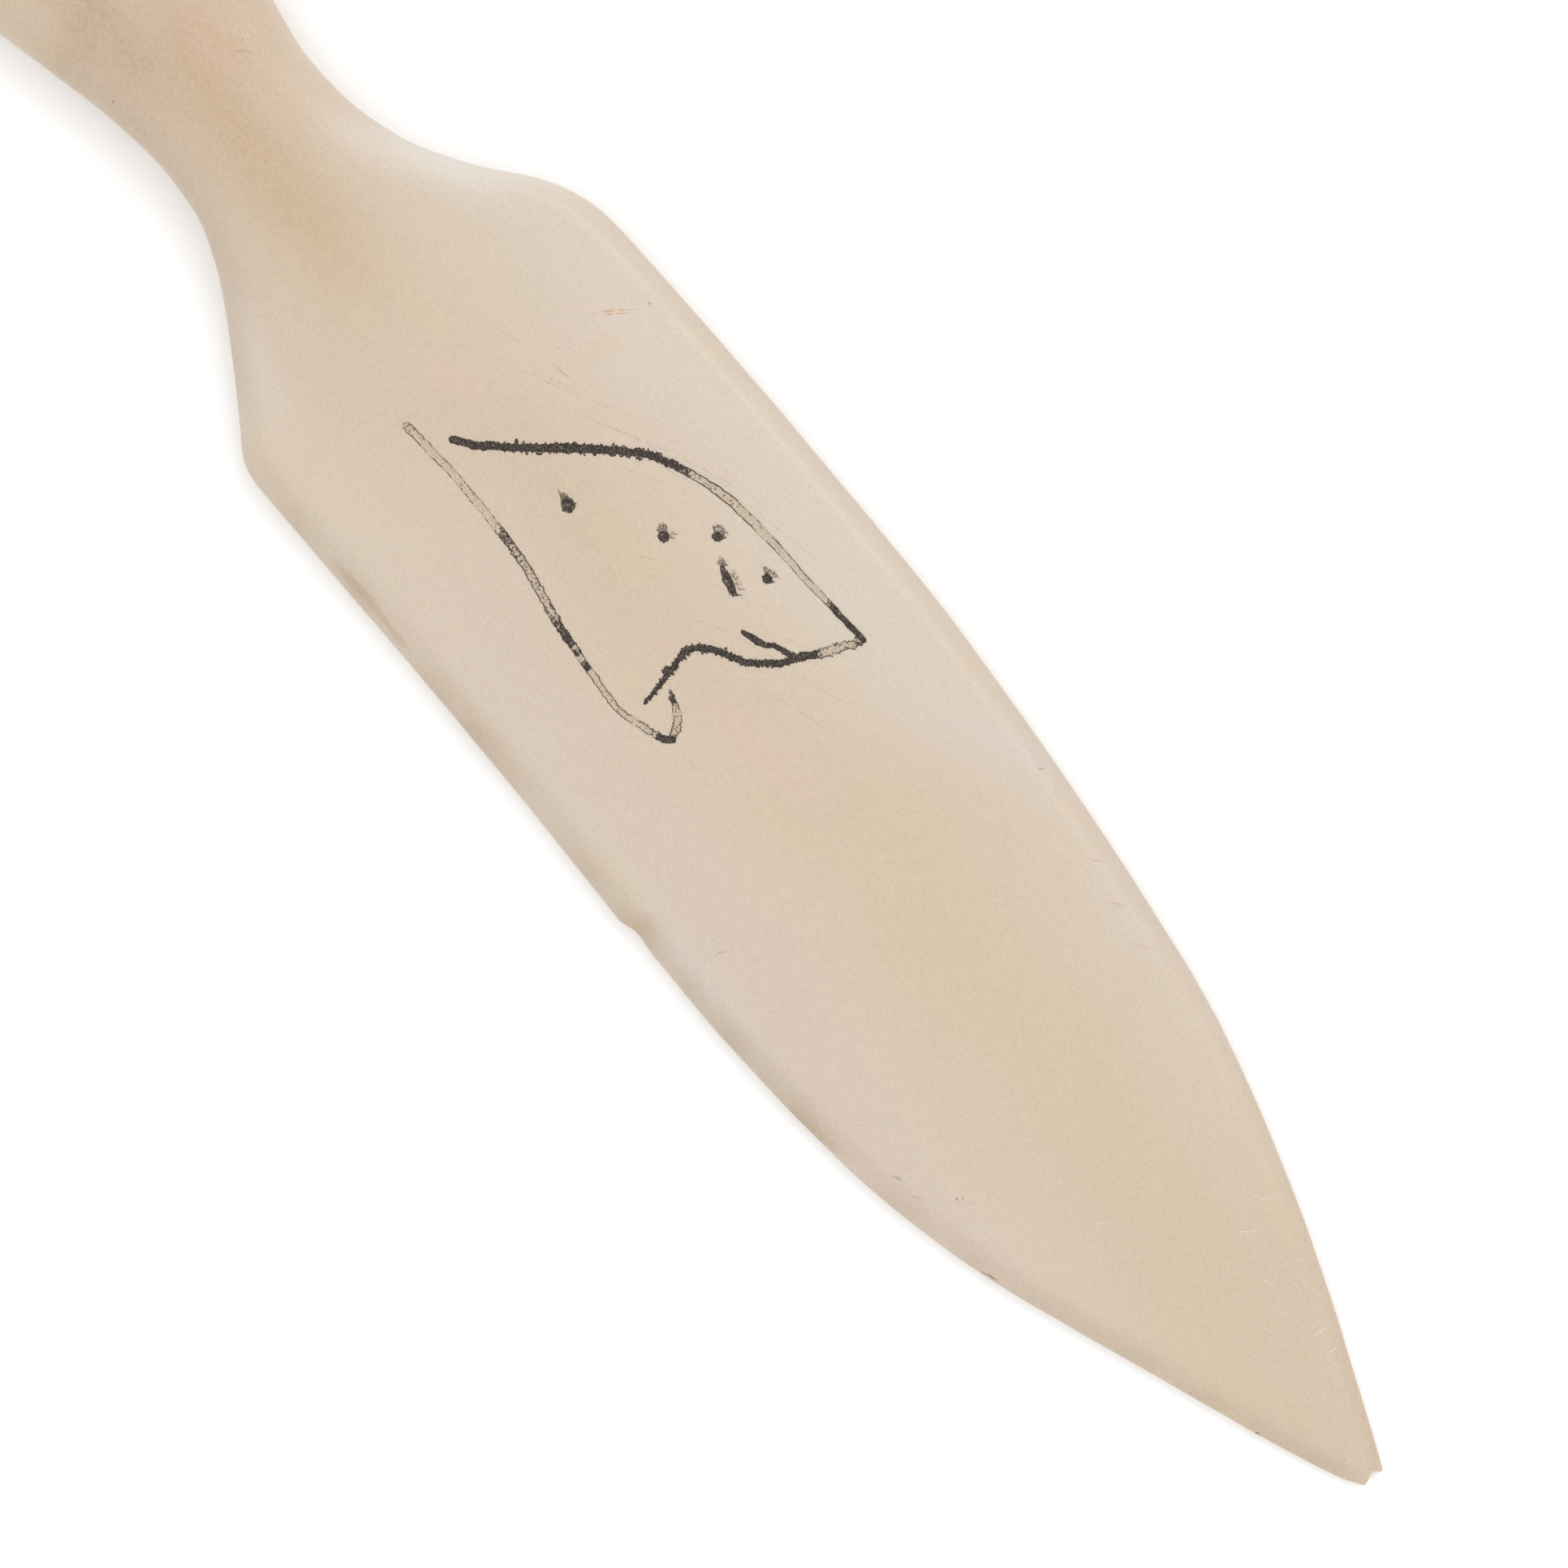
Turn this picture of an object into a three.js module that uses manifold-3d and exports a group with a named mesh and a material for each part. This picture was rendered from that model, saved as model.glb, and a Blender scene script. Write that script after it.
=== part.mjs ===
// A carved bone folder: one piece of bone with a leaf-shaped blade, a narrow waist and a flared grip.
// Its upper face is engraved with a small animal's head, and the grooves are filled with dark pigment.
// Millimetres. +X runs from the butt to the tip, +Y across the width, and +Z up out of the engraved
// face. The origin is the middle of the outline, on the flat back that the folder lies on.

import * as THREE from 'three';
import { LoftGeometry } from 'three/addons/geometries/LoftGeometry.js';
import { mergeVertices } from 'three/addons/utils/BufferGeometryUtils.js';
import Module from 'manifold-3d';

const wasm = await Module();
wasm.setup();

// Driving dimensions. Places along the folder are distances back from its tip.
const LENGTH = 164;
const HALF_WIDTH = 14.2;
const WIDEST_UPPER = 61;
const WIDEST_LOWER = 91.5;
const WAIST = 110;
const SHOULDER = 92;
const BUTT_ROUNDING = 11;
const BUTT_LIFT = 1.8;

const BEVEL_UPPER = 1.7;
const BEVEL_LOWER = 2.6;
const CROWN = 0.25;

const NOTCH_RADIUS = 0.7;
const NOTCH_DEPTH = 0.38;
const NOTCH_Y = 1.0;

const GROOVE_HALF_WIDTH = 0.24;
const GROOVE_DEPTH = 0.3;
const GROOVE_FLANK = { out: 0.6, down: 0.8 };
const PIT_DEPTH = 0.32;
const CUTTER_RISE = 0.6;
const INK_CLEARANCE = 0.03;
const INK_END_GAP = 0.25;
const INK_BELOW_SURFACE = 0.03;
const WORN_INK_LEVEL = 0.45;
const PIT_FILL = 0.93;

// The outline's two edges: [distance from the tip, y].
const UPPER_EDGE = [
  [0, 1.75],
  [1, 2.15],
  [5, 3.77],
  [11, 6.15],
  [17, 8.26],
  [23, 10.04],
  [29, 11.48],
  [35, 12.35],
  [43, 13.2],
  [51, 13.8],
  [WIDEST_UPPER, HALF_WIDTH],
  [75, 14.0],
  [88, 13.5],
  [91, 13.25],
  [93, 12.75],
  [95, 11.75],
  [99, 8.6],
  [103, 6.3],
  [107, 5.2],
  [WAIST, 5.0],
  [114, 5.5],
  [121, 7.3],
  [129, 9.1],
  [140, 9.9],
  [152, 9.6],
  [LENGTH, 8.8],
];
const LOWER_EDGE = [
  [0, 0.05],
  [1, -0.57],
  [5, -2.36],
  [13, -5.47],
  [19, -7.81],
  [25, -10.0],
  [29, -11.13],
  [33, -12.02],
  [37, -12.6],
  [43, -13.15],
  [49, -13.45],
  [53.5, -13.48],
  [55.2, -13.38],
  [56.6, -13.75],
  [65, -13.7],
  [75, -13.8],
  [85, -14.05],
  [WIDEST_LOWER, -HALF_WIDTH],
  [92.7, -14.12],
  [93.6, -13.8],
  [95, -12.84],
  [98, -10.9],
  [101, -9.07],
  [104, -7.5],
  [107, -6.53],
  [WAIST, -6.35],
  [115, -6.95],
  [119, -7.87],
  [123, -8.85],
  [131, -10.3],
  [141, -11.0],
  [152, -10.7],
  [LENGTH, -9.9],
];
// Thickness at the middle, height of the edge's widest line, and how far the back is rounded in.
const THICKNESS = [
  [0, 1.0],
  [3, 1.35],
  [12, 2.0],
  [30, 2.9],
  [55, 3.6],
  [85, 4.1],
  [WAIST, 5.6],
  [130, 6.0],
  [LENGTH, 5.6],
];
const EDGE_HEIGHT = [
  [0, 0.5],
  [12, 0.7],
  [30, 0.8],
  [60, 0.95],
  [85, 1.2],
  [100, 1.9],
  [WAIST, 2.5],
  [LENGTH, 2.5],
];
const BACK_ROUNDING = [
  [0, 0.15],
  [12, 0.4],
  [60, 0.6],
  [85, 0.7],
  [WAIST, 1.8],
  [LENGTH, 2.2],
];

// Sections: how many stations lie on each stretch, and how far out each point of the top lies.
const STRETCHES = [
  [0, 3, 4],
  [3, 51, 16],
  [51, WIDEST_UPPER, 10],
  [WIDEST_UPPER, WIDEST_LOWER, 12],
  [WIDEST_LOWER, WAIST + 1, 16],
  [WAIST + 1, LENGTH - BUTT_ROUNDING, 14],
];
const BUTT_STATIONS = 8;
const ACROSS = [0.965, 0.92, 0.86, 0.74, 0.5, 0.25];
const EDGE_STEPS = 3;

// A smooth curve through knots [x, y], by cubic pieces that never overshoot a knot.
function smoothCurve(knots) {
  const secants = knots.slice(1).map(([x, y], i) => (y - knots[i][1]) / (x - knots[i][0]));
  const slopes = knots.map((_, i) => {
    const before = secants[Math.max(i - 1, 0)];
    const after = secants[Math.min(i, secants.length - 1)];
    return before * after <= 0 ? 0 : (2 * before * after) / (before + after);
  });
  return (x) => {
    const i = Math.min(Math.max(knots.findIndex((knot) => knot[0] >= x) - 1, 0), knots.length - 2);
    const width = knots[i + 1][0] - knots[i][0];
    const t = (x - knots[i][0]) / width;
    const rise = t * t * (3 - 2 * t);
    return knots[i][1] * (1 - rise) + knots[i + 1][1] * rise
      + width * t * (1 - t) * (slopes[i] * (1 - t) - slopes[i + 1] * t);
  };
}

const upperEdge = smoothCurve(UPPER_EDGE);
const lowerEdge = smoothCurve(LOWER_EDGE);
const thickness = smoothCurve(THICKNESS);
const edgeHeight = smoothCurve(EDGE_HEIGHT);
const backRounding = smoothCurve(BACK_ROUNDING);

// From 0 at the very butt to 1 where its rounding ends.
function buttShare(fromTip) {
  const left = Math.max(LENGTH - fromTip, 0.05) / BUTT_ROUNDING;
  return left >= 1 ? 1 : Math.sqrt(1 - (1 - left) ** 2);
}

// The middle and half width of the section at a distance from the tip.
function span(fromTip) {
  const upper = upperEdge(fromTip);
  const lower = lowerEdge(fromTip);
  return { middle: (upper + lower) / 2, half: ((upper - lower) / 2) * buttShare(fromTip) };
}

// Height of the top face. share runs from -1 at the lower edge to 1 at the upper edge.
// The blade has a low crown between two bevels, and the waist and grip are round.
function topHeight(fromTip, share) {
  const { half } = span(fromTip);
  const bladeShare = 1 - THREE.MathUtils.smoothstep(fromTip, SHOULDER, WAIST + 2);
  const bevelWidth = Math.min(share < 0 ? BEVEL_LOWER : BEVEL_UPPER, 0.9 * half);
  const bevel = Math.max(0, 1 - ((1 - Math.abs(share)) * half) / bevelWidth) ** 2;
  const blade = (1 - CROWN * share ** 2) * (1 - bevel);
  const round = Math.sqrt(Math.max(0, 1 - share ** 2));
  const edge = edgeHeight(fromTip) * buttShare(fromTip);
  const middle = thickness(fromTip) * buttShare(fromTip) ** 0.6;
  return edge + (middle - edge) * (bladeShare * blade + (1 - bladeShare) * round);
}

// How far the butt's end is lifted off the flat back, so that it is rounded below as well as above.
function buttLift(fromTip) {
  return BUTT_LIFT * (1 - buttShare(fromTip)) ** 2;
}

// Height of the top face over a point of the blade's plan.
function surfaceAt(point) {
  const fromTip = LENGTH / 2 - point.x;
  const { middle, half } = span(fromTip);
  return topHeight(fromTip, (point.y - middle) / half);
}

// One closed section: up round the upper edge, over the top, and down round the lower edge.
function bodySection(fromTip) {
  const { middle, half } = span(fromTip);
  const x = LENGTH / 2 - fromTip;
  const rounding = backRounding(fromTip) * buttShare(fromTip);
  const edge = edgeHeight(fromTip) * buttShare(fromTip);
  const upperSide = [];
  for (let i = 0; i <= EDGE_STEPS; i++) {
    const angle = (i / EDGE_STEPS) * (Math.PI / 2);
    upperSide.push([half - rounding * (1 - Math.sin(angle)), edge * (1 - Math.cos(angle))]);
  }
  const shares = [...ACROSS, 0, ...ACROSS.map((share) => -share).reverse()];
  const ring = [
    ...upperSide,
    ...shares.map((share) => [half * share, topHeight(fromTip, share)]),
    ...upperSide.map(([y, z]) => [-y, z]).reverse(),
  ];
  return ring.map(([y, z]) => new THREE.Vector3(x, middle + y, z + buttLift(fromTip)));
}

function stations() {
  const list = [];
  for (const [from, to, count] of STRETCHES) {
    for (let i = 0; i < count; i++) list.push(from + ((to - from) * i) / count);
  }
  for (let i = 0; i <= BUTT_STATIONS; i++) {
    list.push(LENGTH - BUTT_ROUNDING * (1 - Math.sin(((i / BUTT_STATIONS) * Math.PI) / 2)));
  }
  return list;
}

// three.js geometry to a closed solid, and back.
function solidOf(geometry) {
  const plain = new THREE.BufferGeometry();
  plain.setIndex(geometry.index);
  plain.setAttribute('position', geometry.getAttribute('position'));
  const merged = mergeVertices(plain, 1e-4);
  return new wasm.Manifold(new wasm.Mesh({
    numProp: 3,
    vertProperties: merged.getAttribute('position').array,
    triVerts: new Uint32Array(merged.index.array),
  }));
}

function geometryOf(solid) {
  const { vertProperties, triVerts } = solid.getMesh();
  const geometry = new THREE.BufferGeometry();
  geometry.setAttribute('position', new THREE.BufferAttribute(vertProperties, 3));
  geometry.setIndex(new THREE.BufferAttribute(triVerts, 1));
  const faceted = geometry.toNonIndexed();
  faceted.computeVertexNormals();
  return faceted;
}

// The engraved lines, as points [distance from the tip, y] of a smooth stroke. fills are the
// stretches of pigment along it, as shares of its length; the worn ones have lost most of theirs.
const STROKES = {
  back: {
    points: [
      [86.15, -3.05], [84.8, -2.0], [83.4, -0.5], [80.5, 2.95], [78.1, 5.5], [75.8, 6.85],
      [72.7, 7.9], [69.2, 8.35], [65.0, 8.6], [61.8, 8.85], [60.35, 9.0],
    ],
    fills: [
      { node: 'ink_back', from: 0, to: 0.49 },
      { node: 'ink_back_worn', from: 0.5, to: 0.89, worn: true },
      { node: 'ink_snout', from: 0.9, to: 1 },
    ],
  },
  belly: {
    points: [
      [88.6, -4.65], [84.55, -4.25], [80.8, -4.2], [77.4, -4.35], [74.75, -4.75], [72.1, -5.15],
      [68.0, -5.45], [66.3, -5.4], [64.2, -4.7], [63.5, -4.35], [63.3, -3.9], [64.05, -2.9],
      [65.65, -2.25],
    ],
    fills: [
      { node: 'ink_belly_rear_worn', from: 0, to: 0.305, worn: true },
      { node: 'ink_belly', from: 0.315, to: 0.58 },
      { node: 'ink_belly_front_worn', from: 0.59, to: 0.84, worn: true },
      { node: 'ink_flipper', from: 0.85, to: 1 },
    ],
  },
  chest: {
    points: [
      [65.95, -4.05], [66.2, -2.7], [66.75, -0.6], [66.8, 0.25], [66.25, 1.0], [65.55, 1.6],
      [64.0, 2.45], [62.7, 4.05], [62.05, 5.5], [61.6, 6.2], [60.6, 8.55],
    ],
    fills: [
      { node: 'ink_chest', from: 0, to: 0.83 },
      { node: 'ink_muzzle_worn', from: 0.85, to: 0.93, worn: true },
    ],
  },
  lip: {
    points: [[65.7, 3.45], [64.8, 3.75], [64.15, 4.05], [63.7, 4.45], [63.05, 4.75], [62.45, 4.85]],
    fills: [{ node: 'ink_lip', from: 0, to: 0.8 }],
  },
};

// The pricked marks: place, half length, half width and direction in degrees.
const PITS = [
  { node: 'ink_eye', place: [68.55, 4.8], halfLength: 1.1, halfWidth: 0.36, turn: -14 },
  { node: 'ink_spot_neck', place: [78.5, 0.05], halfLength: 0.6, halfWidth: 0.42, turn: -8 },
  { node: 'ink_spot_cheek', place: [73.3, 3.45], halfLength: 0.45, halfWidth: 0.38, turn: 15 },
  { node: 'ink_spot_brow', place: [71.15, 6.05], halfLength: 0.45, halfWidth: 0.38, turn: 20 },
  { node: 'ink_spot_nose', place: [67.2, 6.75], halfLength: 0.42, halfWidth: 0.38, turn: 10 },
];
const STROKE_STEP = 0.6;
const STROKE_END_TAPER = 0.35;
const PIT_SIDES = 14;
const PIT_RINGS = 4;

function strokeCurve({ points }) {
  return new THREE.SplineCurve(points.map(([fromTip, y]) => new THREE.Vector2(LENGTH / 2 - fromTip, y)));
}

// A bar swept along part of a stroke, just under the top face. profile lists each corner of its
// cross-section as [sideways, up], anticlockwise as seen from the stroke's far end.
function sweptAlong(curve, from, to, profile) {
  const steps = Math.max(3, Math.ceil((curve.getLength() * (to - from)) / STROKE_STEP));
  const sections = [];
  for (let i = 0; i <= steps; i++) {
    const at = from + ((to - from) * i) / steps;
    const point = curve.getPointAt(at);
    const along = curve.getTangentAt(at);
    const width = i === 0 || i === steps ? 1 - STROKE_END_TAPER : 1;
    const z = surfaceAt(point);
    sections.push(profile.map(([side, up]) => new THREE.Vector3(
      point.x - along.y * side * width,
      point.y + along.x * side * width,
      z + up,
    )));
  }
  return new LoftGeometry(sections, { capStart: true, capEnd: true });
}

function grooveCutter(stroke) {
  const w = GROOVE_HALF_WIDTH;
  const { out, down } = GROOVE_FLANK;
  const profile = [
    [-w, 0],
    [-w * out, -GROOVE_DEPTH * down],
    [0, -GROOVE_DEPTH],
    [w * out, -GROOVE_DEPTH * down],
    [w, 0],
    [w, CUTTER_RISE],
    [-w, CUTTER_RISE],
  ];
  return sweptAlong(strokeCurve(stroke), 0, 1, profile);
}

function inkBar(stroke, { from, to, worn }) {
  const w = GROOVE_HALF_WIDTH - INK_CLEARANCE;
  const bottom = GROOVE_DEPTH - INK_CLEARANCE;
  const top = worn ? GROOVE_DEPTH * WORN_INK_LEVEL : INK_BELOW_SURFACE;
  const lip = w * (worn ? 0.8 : 0.97);
  const { out, down } = GROOVE_FLANK;
  const profile = [
    [-lip, -top],
    [-w * out, -bottom * down],
    [0, -bottom],
    [w * out, -bottom * down],
    [lip, -top],
  ];
  const curve = strokeCurve(stroke);
  const end = INK_END_GAP / curve.getLength();
  return sweptAlong(curve, Math.max(from, end), Math.min(to, 1 - end), profile);
}

// A bowl or a whole ellipsoid centred on the top face, turned to the mark's direction.
function placePit(geometry, { place: [fromTip, y], turn }) {
  const point = new THREE.Vector2(LENGTH / 2 - fromTip, y);
  return geometry
    .rotateZ(THREE.MathUtils.degToRad(turn))
    .translate(point.x, point.y, surfaceAt(point));
}

function pitCutter(pit) {
  const ball = new THREE.SphereGeometry(1, PIT_SIDES, PIT_RINGS * 2)
    .rotateX(Math.PI / 2)
    .scale(pit.halfLength, pit.halfWidth, PIT_DEPTH);
  return placePit(ball, pit);
}

function inkBowl(pit) {
  const profile = [];
  for (let i = 0; i <= PIT_RINGS; i++) {
    const angle = (i / PIT_RINGS) * (Math.PI / 2) * PIT_FILL;
    profile.push(new THREE.Vector2(Math.sin(angle), -Math.cos(angle)));
  }
  profile[0].x = 0;
  profile.push(new THREE.Vector2(0, profile[PIT_RINGS].y));
  const gap = INK_CLEARANCE * 2;
  const bowl = new THREE.LatheGeometry(profile, PIT_SIDES)
    .rotateX(Math.PI / 2)
    .scale(pit.halfLength - gap, pit.halfWidth - gap, PIT_DEPTH - INK_CLEARANCE);
  return placePit(bowl, pit);
}

function matt(name, color, roughness) {
  return new THREE.MeshStandardMaterial({ name, color, roughness, metalness: 0 });
}

const bone = matt('bone', 0xded0bf, 0.42);
const darkInk = matt('ink', 0x2c2724, 0.8);
const wornInk = matt('worn_ink', 0x9a9482, 0.75);

// The bone itself, with its chipped tip, its engraved lines and its pricked marks cut out of it.
function boneBody() {
  const loft = new LoftGeometry(stations().reverse().map(bodySection), { capStart: true, capEnd: true });
  const notch = new THREE.CylinderGeometry(NOTCH_RADIUS, NOTCH_RADIUS, 4, 24)
    .rotateX(Math.PI / 2)
    .translate(LENGTH / 2 + NOTCH_RADIUS - NOTCH_DEPTH, NOTCH_Y, 0);
  const cutters = [
    notch,
    ...Object.values(STROKES).map(grooveCutter),
    ...PITS.map(pitCutter),
  ];
  const carved = cutters.reduce((solid, cutter) => solid.subtract(solidOf(cutter)), solidOf(loft));
  return geometryOf(carved);
}

function namedMesh(name, geometry, material) {
  const mesh = new THREE.Mesh(geometry, material);
  mesh.name = name;
  return mesh;
}

const folder = new THREE.Group();
folder.name = 'bone_folder';
folder.add(namedMesh('bone_body', boneBody(), bone));
for (const stroke of Object.values(STROKES)) {
  for (const fill of stroke.fills) {
    folder.add(namedMesh(fill.node, inkBar(stroke, fill), fill.worn ? wornInk : darkInk));
  }
}
for (const pit of PITS) {
  folder.add(namedMesh(pit.node, inkBowl(pit), darkInk));
}

export default folder;
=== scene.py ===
import math

import bmesh
import bpy
import numpy as np
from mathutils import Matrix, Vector, noise
from mathutils.kdtree import KDTree


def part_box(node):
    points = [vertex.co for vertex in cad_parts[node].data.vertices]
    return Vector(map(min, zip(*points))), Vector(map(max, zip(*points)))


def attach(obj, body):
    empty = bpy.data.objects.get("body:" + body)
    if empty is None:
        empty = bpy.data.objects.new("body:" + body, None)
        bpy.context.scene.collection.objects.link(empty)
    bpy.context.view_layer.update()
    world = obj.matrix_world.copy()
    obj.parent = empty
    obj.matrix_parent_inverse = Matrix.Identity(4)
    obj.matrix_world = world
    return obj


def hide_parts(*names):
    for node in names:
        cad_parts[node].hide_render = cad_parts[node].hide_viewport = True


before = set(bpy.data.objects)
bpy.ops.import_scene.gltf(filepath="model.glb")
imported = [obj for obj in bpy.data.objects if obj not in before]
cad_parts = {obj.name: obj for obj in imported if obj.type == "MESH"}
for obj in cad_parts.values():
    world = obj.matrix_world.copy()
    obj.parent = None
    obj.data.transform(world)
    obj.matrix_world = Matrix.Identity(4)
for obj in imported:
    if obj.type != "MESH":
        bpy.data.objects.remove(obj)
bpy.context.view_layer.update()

# A carved bone folder lying on a pale table, engraved face up. Shapes are worked out in millimetres,
# in the frame's own axes, and places on the folder are given as (distance back from the tip, y).
MM = 0.001
low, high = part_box("bone_body")
TIP_X = round(high.x / MM, 2)
LENGTH = round((high.x - low.x) / MM, 2)
HALF_WIDTH = round(high.y / MM, 2)

# The driving dimensions of the frame's own body, which the finer surface repeats.
WIDEST_UPPER = 61
WIDEST_LOWER = 91.5
WAIST = 110
SHOULDER = 92
BUTT_ROUNDING = 11
BUTT_LIFT = 1.8
BEVEL_UPPER = 1.7
BEVEL_LOWER = 2.6
CROWN = 0.25

UPPER_EDGE = [
    (0, 1.75), (1, 2.15), (5, 3.77), (11, 6.15), (17, 8.26), (23, 10.04), (29, 11.48), (35, 12.35),
    (43, 13.2), (51, 13.8), (WIDEST_UPPER, HALF_WIDTH), (75, 14.0), (88, 13.5), (91, 13.25),
    (93, 12.75), (95, 11.75), (99, 8.6), (103, 6.3), (107, 5.2), (WAIST, 5.0), (114, 5.5),
    (121, 7.3), (129, 9.1), (140, 9.9), (152, 9.6), (LENGTH, 8.8),
]
LOWER_EDGE = [
    (0, 0.05), (1, -0.57), (5, -2.36), (13, -5.47), (19, -7.81), (25, -10.0), (29, -11.13),
    (33, -12.02), (37, -12.6), (43, -13.15), (49, -13.45), (53.5, -13.48), (55.2, -13.38),
    (56.6, -13.75), (65, -13.7), (75, -13.8), (85, -14.05), (WIDEST_LOWER, -HALF_WIDTH),
    (92.7, -14.12), (93.6, -13.8), (95, -12.84), (98, -10.9), (101, -9.07), (104, -7.5),
    (107, -6.53), (WAIST, -6.35), (115, -6.95), (119, -7.87), (123, -8.85), (131, -10.3),
    (141, -11.0), (152, -10.7), (LENGTH, -9.9),
]
THICKNESS = [
    (0, 1.0), (3, 1.35), (12, 2.0), (30, 2.9), (55, 3.6), (85, 4.1), (WAIST, 5.6), (130, 6.0),
    (LENGTH, 5.6),
]
EDGE_HEIGHT = [
    (0, 0.5), (12, 0.7), (30, 0.8), (60, 0.95), (85, 1.2), (100, 1.9), (WAIST, 2.5), (LENGTH, 2.5),
]
BACK_ROUNDING = [(0, 0.15), (12, 0.4), (60, 0.6), (85, 0.7), (WAIST, 1.8), (LENGTH, 2.2)]

# The broken tip: how far the end stands back, at each y.
TIP_FRONT = [
    (0.05, 0.08), (0.2, 0.0), (0.5, 0.14), (0.8, 0.28), (1.08, 0.38), (1.3, 0.26), (1.5, 0.05),
    (1.62, 0.0), (1.75, 0.1),
]
TIP_REACH = 2.0

# Hand finishing: the bevels' power curve, how much the face undulates, and how far the edges wander in.
BEVEL_SOFTNESS = 2.6
UNEVENNESS = 0.07
EDGE_WANDER = 0.05


def smooth_curve(knots):
    """A curve through knots (x, y), in cubic pieces that never overshoot a knot."""
    xs, ys = np.array(knots, float).T
    secants = np.diff(ys) / np.diff(xs)
    before = np.concatenate([secants[:1], secants])
    after = np.concatenate([secants, secants[-1:]])
    same_way = before * after > 0
    slopes = np.where(same_way, 2 * before * after / np.where(same_way, before + after, 1), 0)

    def curve(x):
        i = np.clip(np.searchsorted(xs, x) - 1, 0, len(xs) - 2)
        width = xs[i + 1] - xs[i]
        t = np.clip((x - xs[i]) / width, 0, 1)
        rise = t * t * (3 - 2 * t)
        bend = slopes[i] * (1 - t) - slopes[i + 1] * t
        return ys[i] * (1 - rise) + ys[i + 1] * rise + width * t * (1 - t) * bend

    return curve


upper_edge = smooth_curve(UPPER_EDGE)
lower_edge = smooth_curve(LOWER_EDGE)
thickness = smooth_curve(THICKNESS)
edge_height = smooth_curve(EDGE_HEIGHT)
back_rounding = smooth_curve(BACK_ROUNDING)
tip_front = smooth_curve(TIP_FRONT)
ripple = np.vectorize(lambda x, y, z: noise.noise(Vector((x, y + 0.37, z + 0.61))))


def smoothstep(x, start, end):
    t = np.clip((x - start) / (end - start), 0, 1)
    return t * t * (3 - 2 * t)


def butt_share(from_tip):
    """From 0 at the very butt to 1 where its rounding ends."""
    left = np.clip((LENGTH - from_tip) / BUTT_ROUNDING, 0.0005, 1)
    return np.sqrt(1 - (1 - left) ** 2)


def span(from_tip):
    """The middle and half width of the outline. Its edges wander a little, always inwards."""
    wander_upper = EDGE_WANDER * (0.5 + 0.5 * ripple(from_tip * 0.45, 7.0, 0.0))
    wander_lower = EDGE_WANDER * (0.5 + 0.5 * ripple(from_tip * 0.45, 23.0, 0.0))
    upper = upper_edge(from_tip) - wander_upper
    lower = lower_edge(from_tip) + wander_lower
    return (upper + lower) / 2, (upper - lower) / 2 * butt_share(from_tip)


def unevenness(from_tip, y):
    """How far the face is scraped below its nominal height: long shallow facets along the folder."""
    facets = ripple(from_tip * 0.045, y * 0.16, 3.0) + 0.5 * ripple(from_tip * 0.12, y * 0.4, 9.0)
    return UNEVENNESS * (0.5 + 0.33 * facets) * butt_share(from_tip)


def top_height(from_tip, share):
    """Height of the top face. share runs from -1 at the lower edge to 1 at the upper edge."""
    middle, half = span(from_tip)
    blade_share = 1 - smoothstep(from_tip, SHOULDER, WAIST + 2)
    bevel_width = np.minimum(np.where(share < 0, BEVEL_LOWER, BEVEL_UPPER), 0.9 * half)
    bevel = np.clip(1 - (1 - np.abs(share)) * half / bevel_width, 0, 1) ** BEVEL_SOFTNESS
    blade = (1 - CROWN * share**2) * (1 - bevel)
    round_top = np.sqrt(np.clip(1 - share**2, 0, 1))
    edge = edge_height(from_tip) * butt_share(from_tip)
    peak = thickness(from_tip) * butt_share(from_tip) ** 0.6
    height = edge + (peak - edge) * (blade_share * blade + (1 - blade_share) * round_top)
    return height - unevenness(from_tip, middle + half * share) * (1 - share**2)


def back_height(from_tip, share):
    """Height of the back: flat on the table, and rounded up to the edge on each side."""
    half = span(from_tip)[1]
    rounding = np.minimum(back_rounding(from_tip), 0.9 * half)
    inward = np.clip(1 - (1 - np.abs(share)) * half / rounding, 0, 1)
    edge = edge_height(from_tip) * butt_share(from_tip)
    return edge * (1 - np.sqrt(1 - inward**2))


def butt_lift(from_tip):
    return BUTT_LIFT * (1 - butt_share(from_tip)) ** 2


def face_height(from_tip, y):
    """Height of the top face over a point of the blade, before any engraving."""
    middle, half = span(from_tip)
    return top_height(from_tip, np.clip((y - middle) / half, -1, 1))


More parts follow.
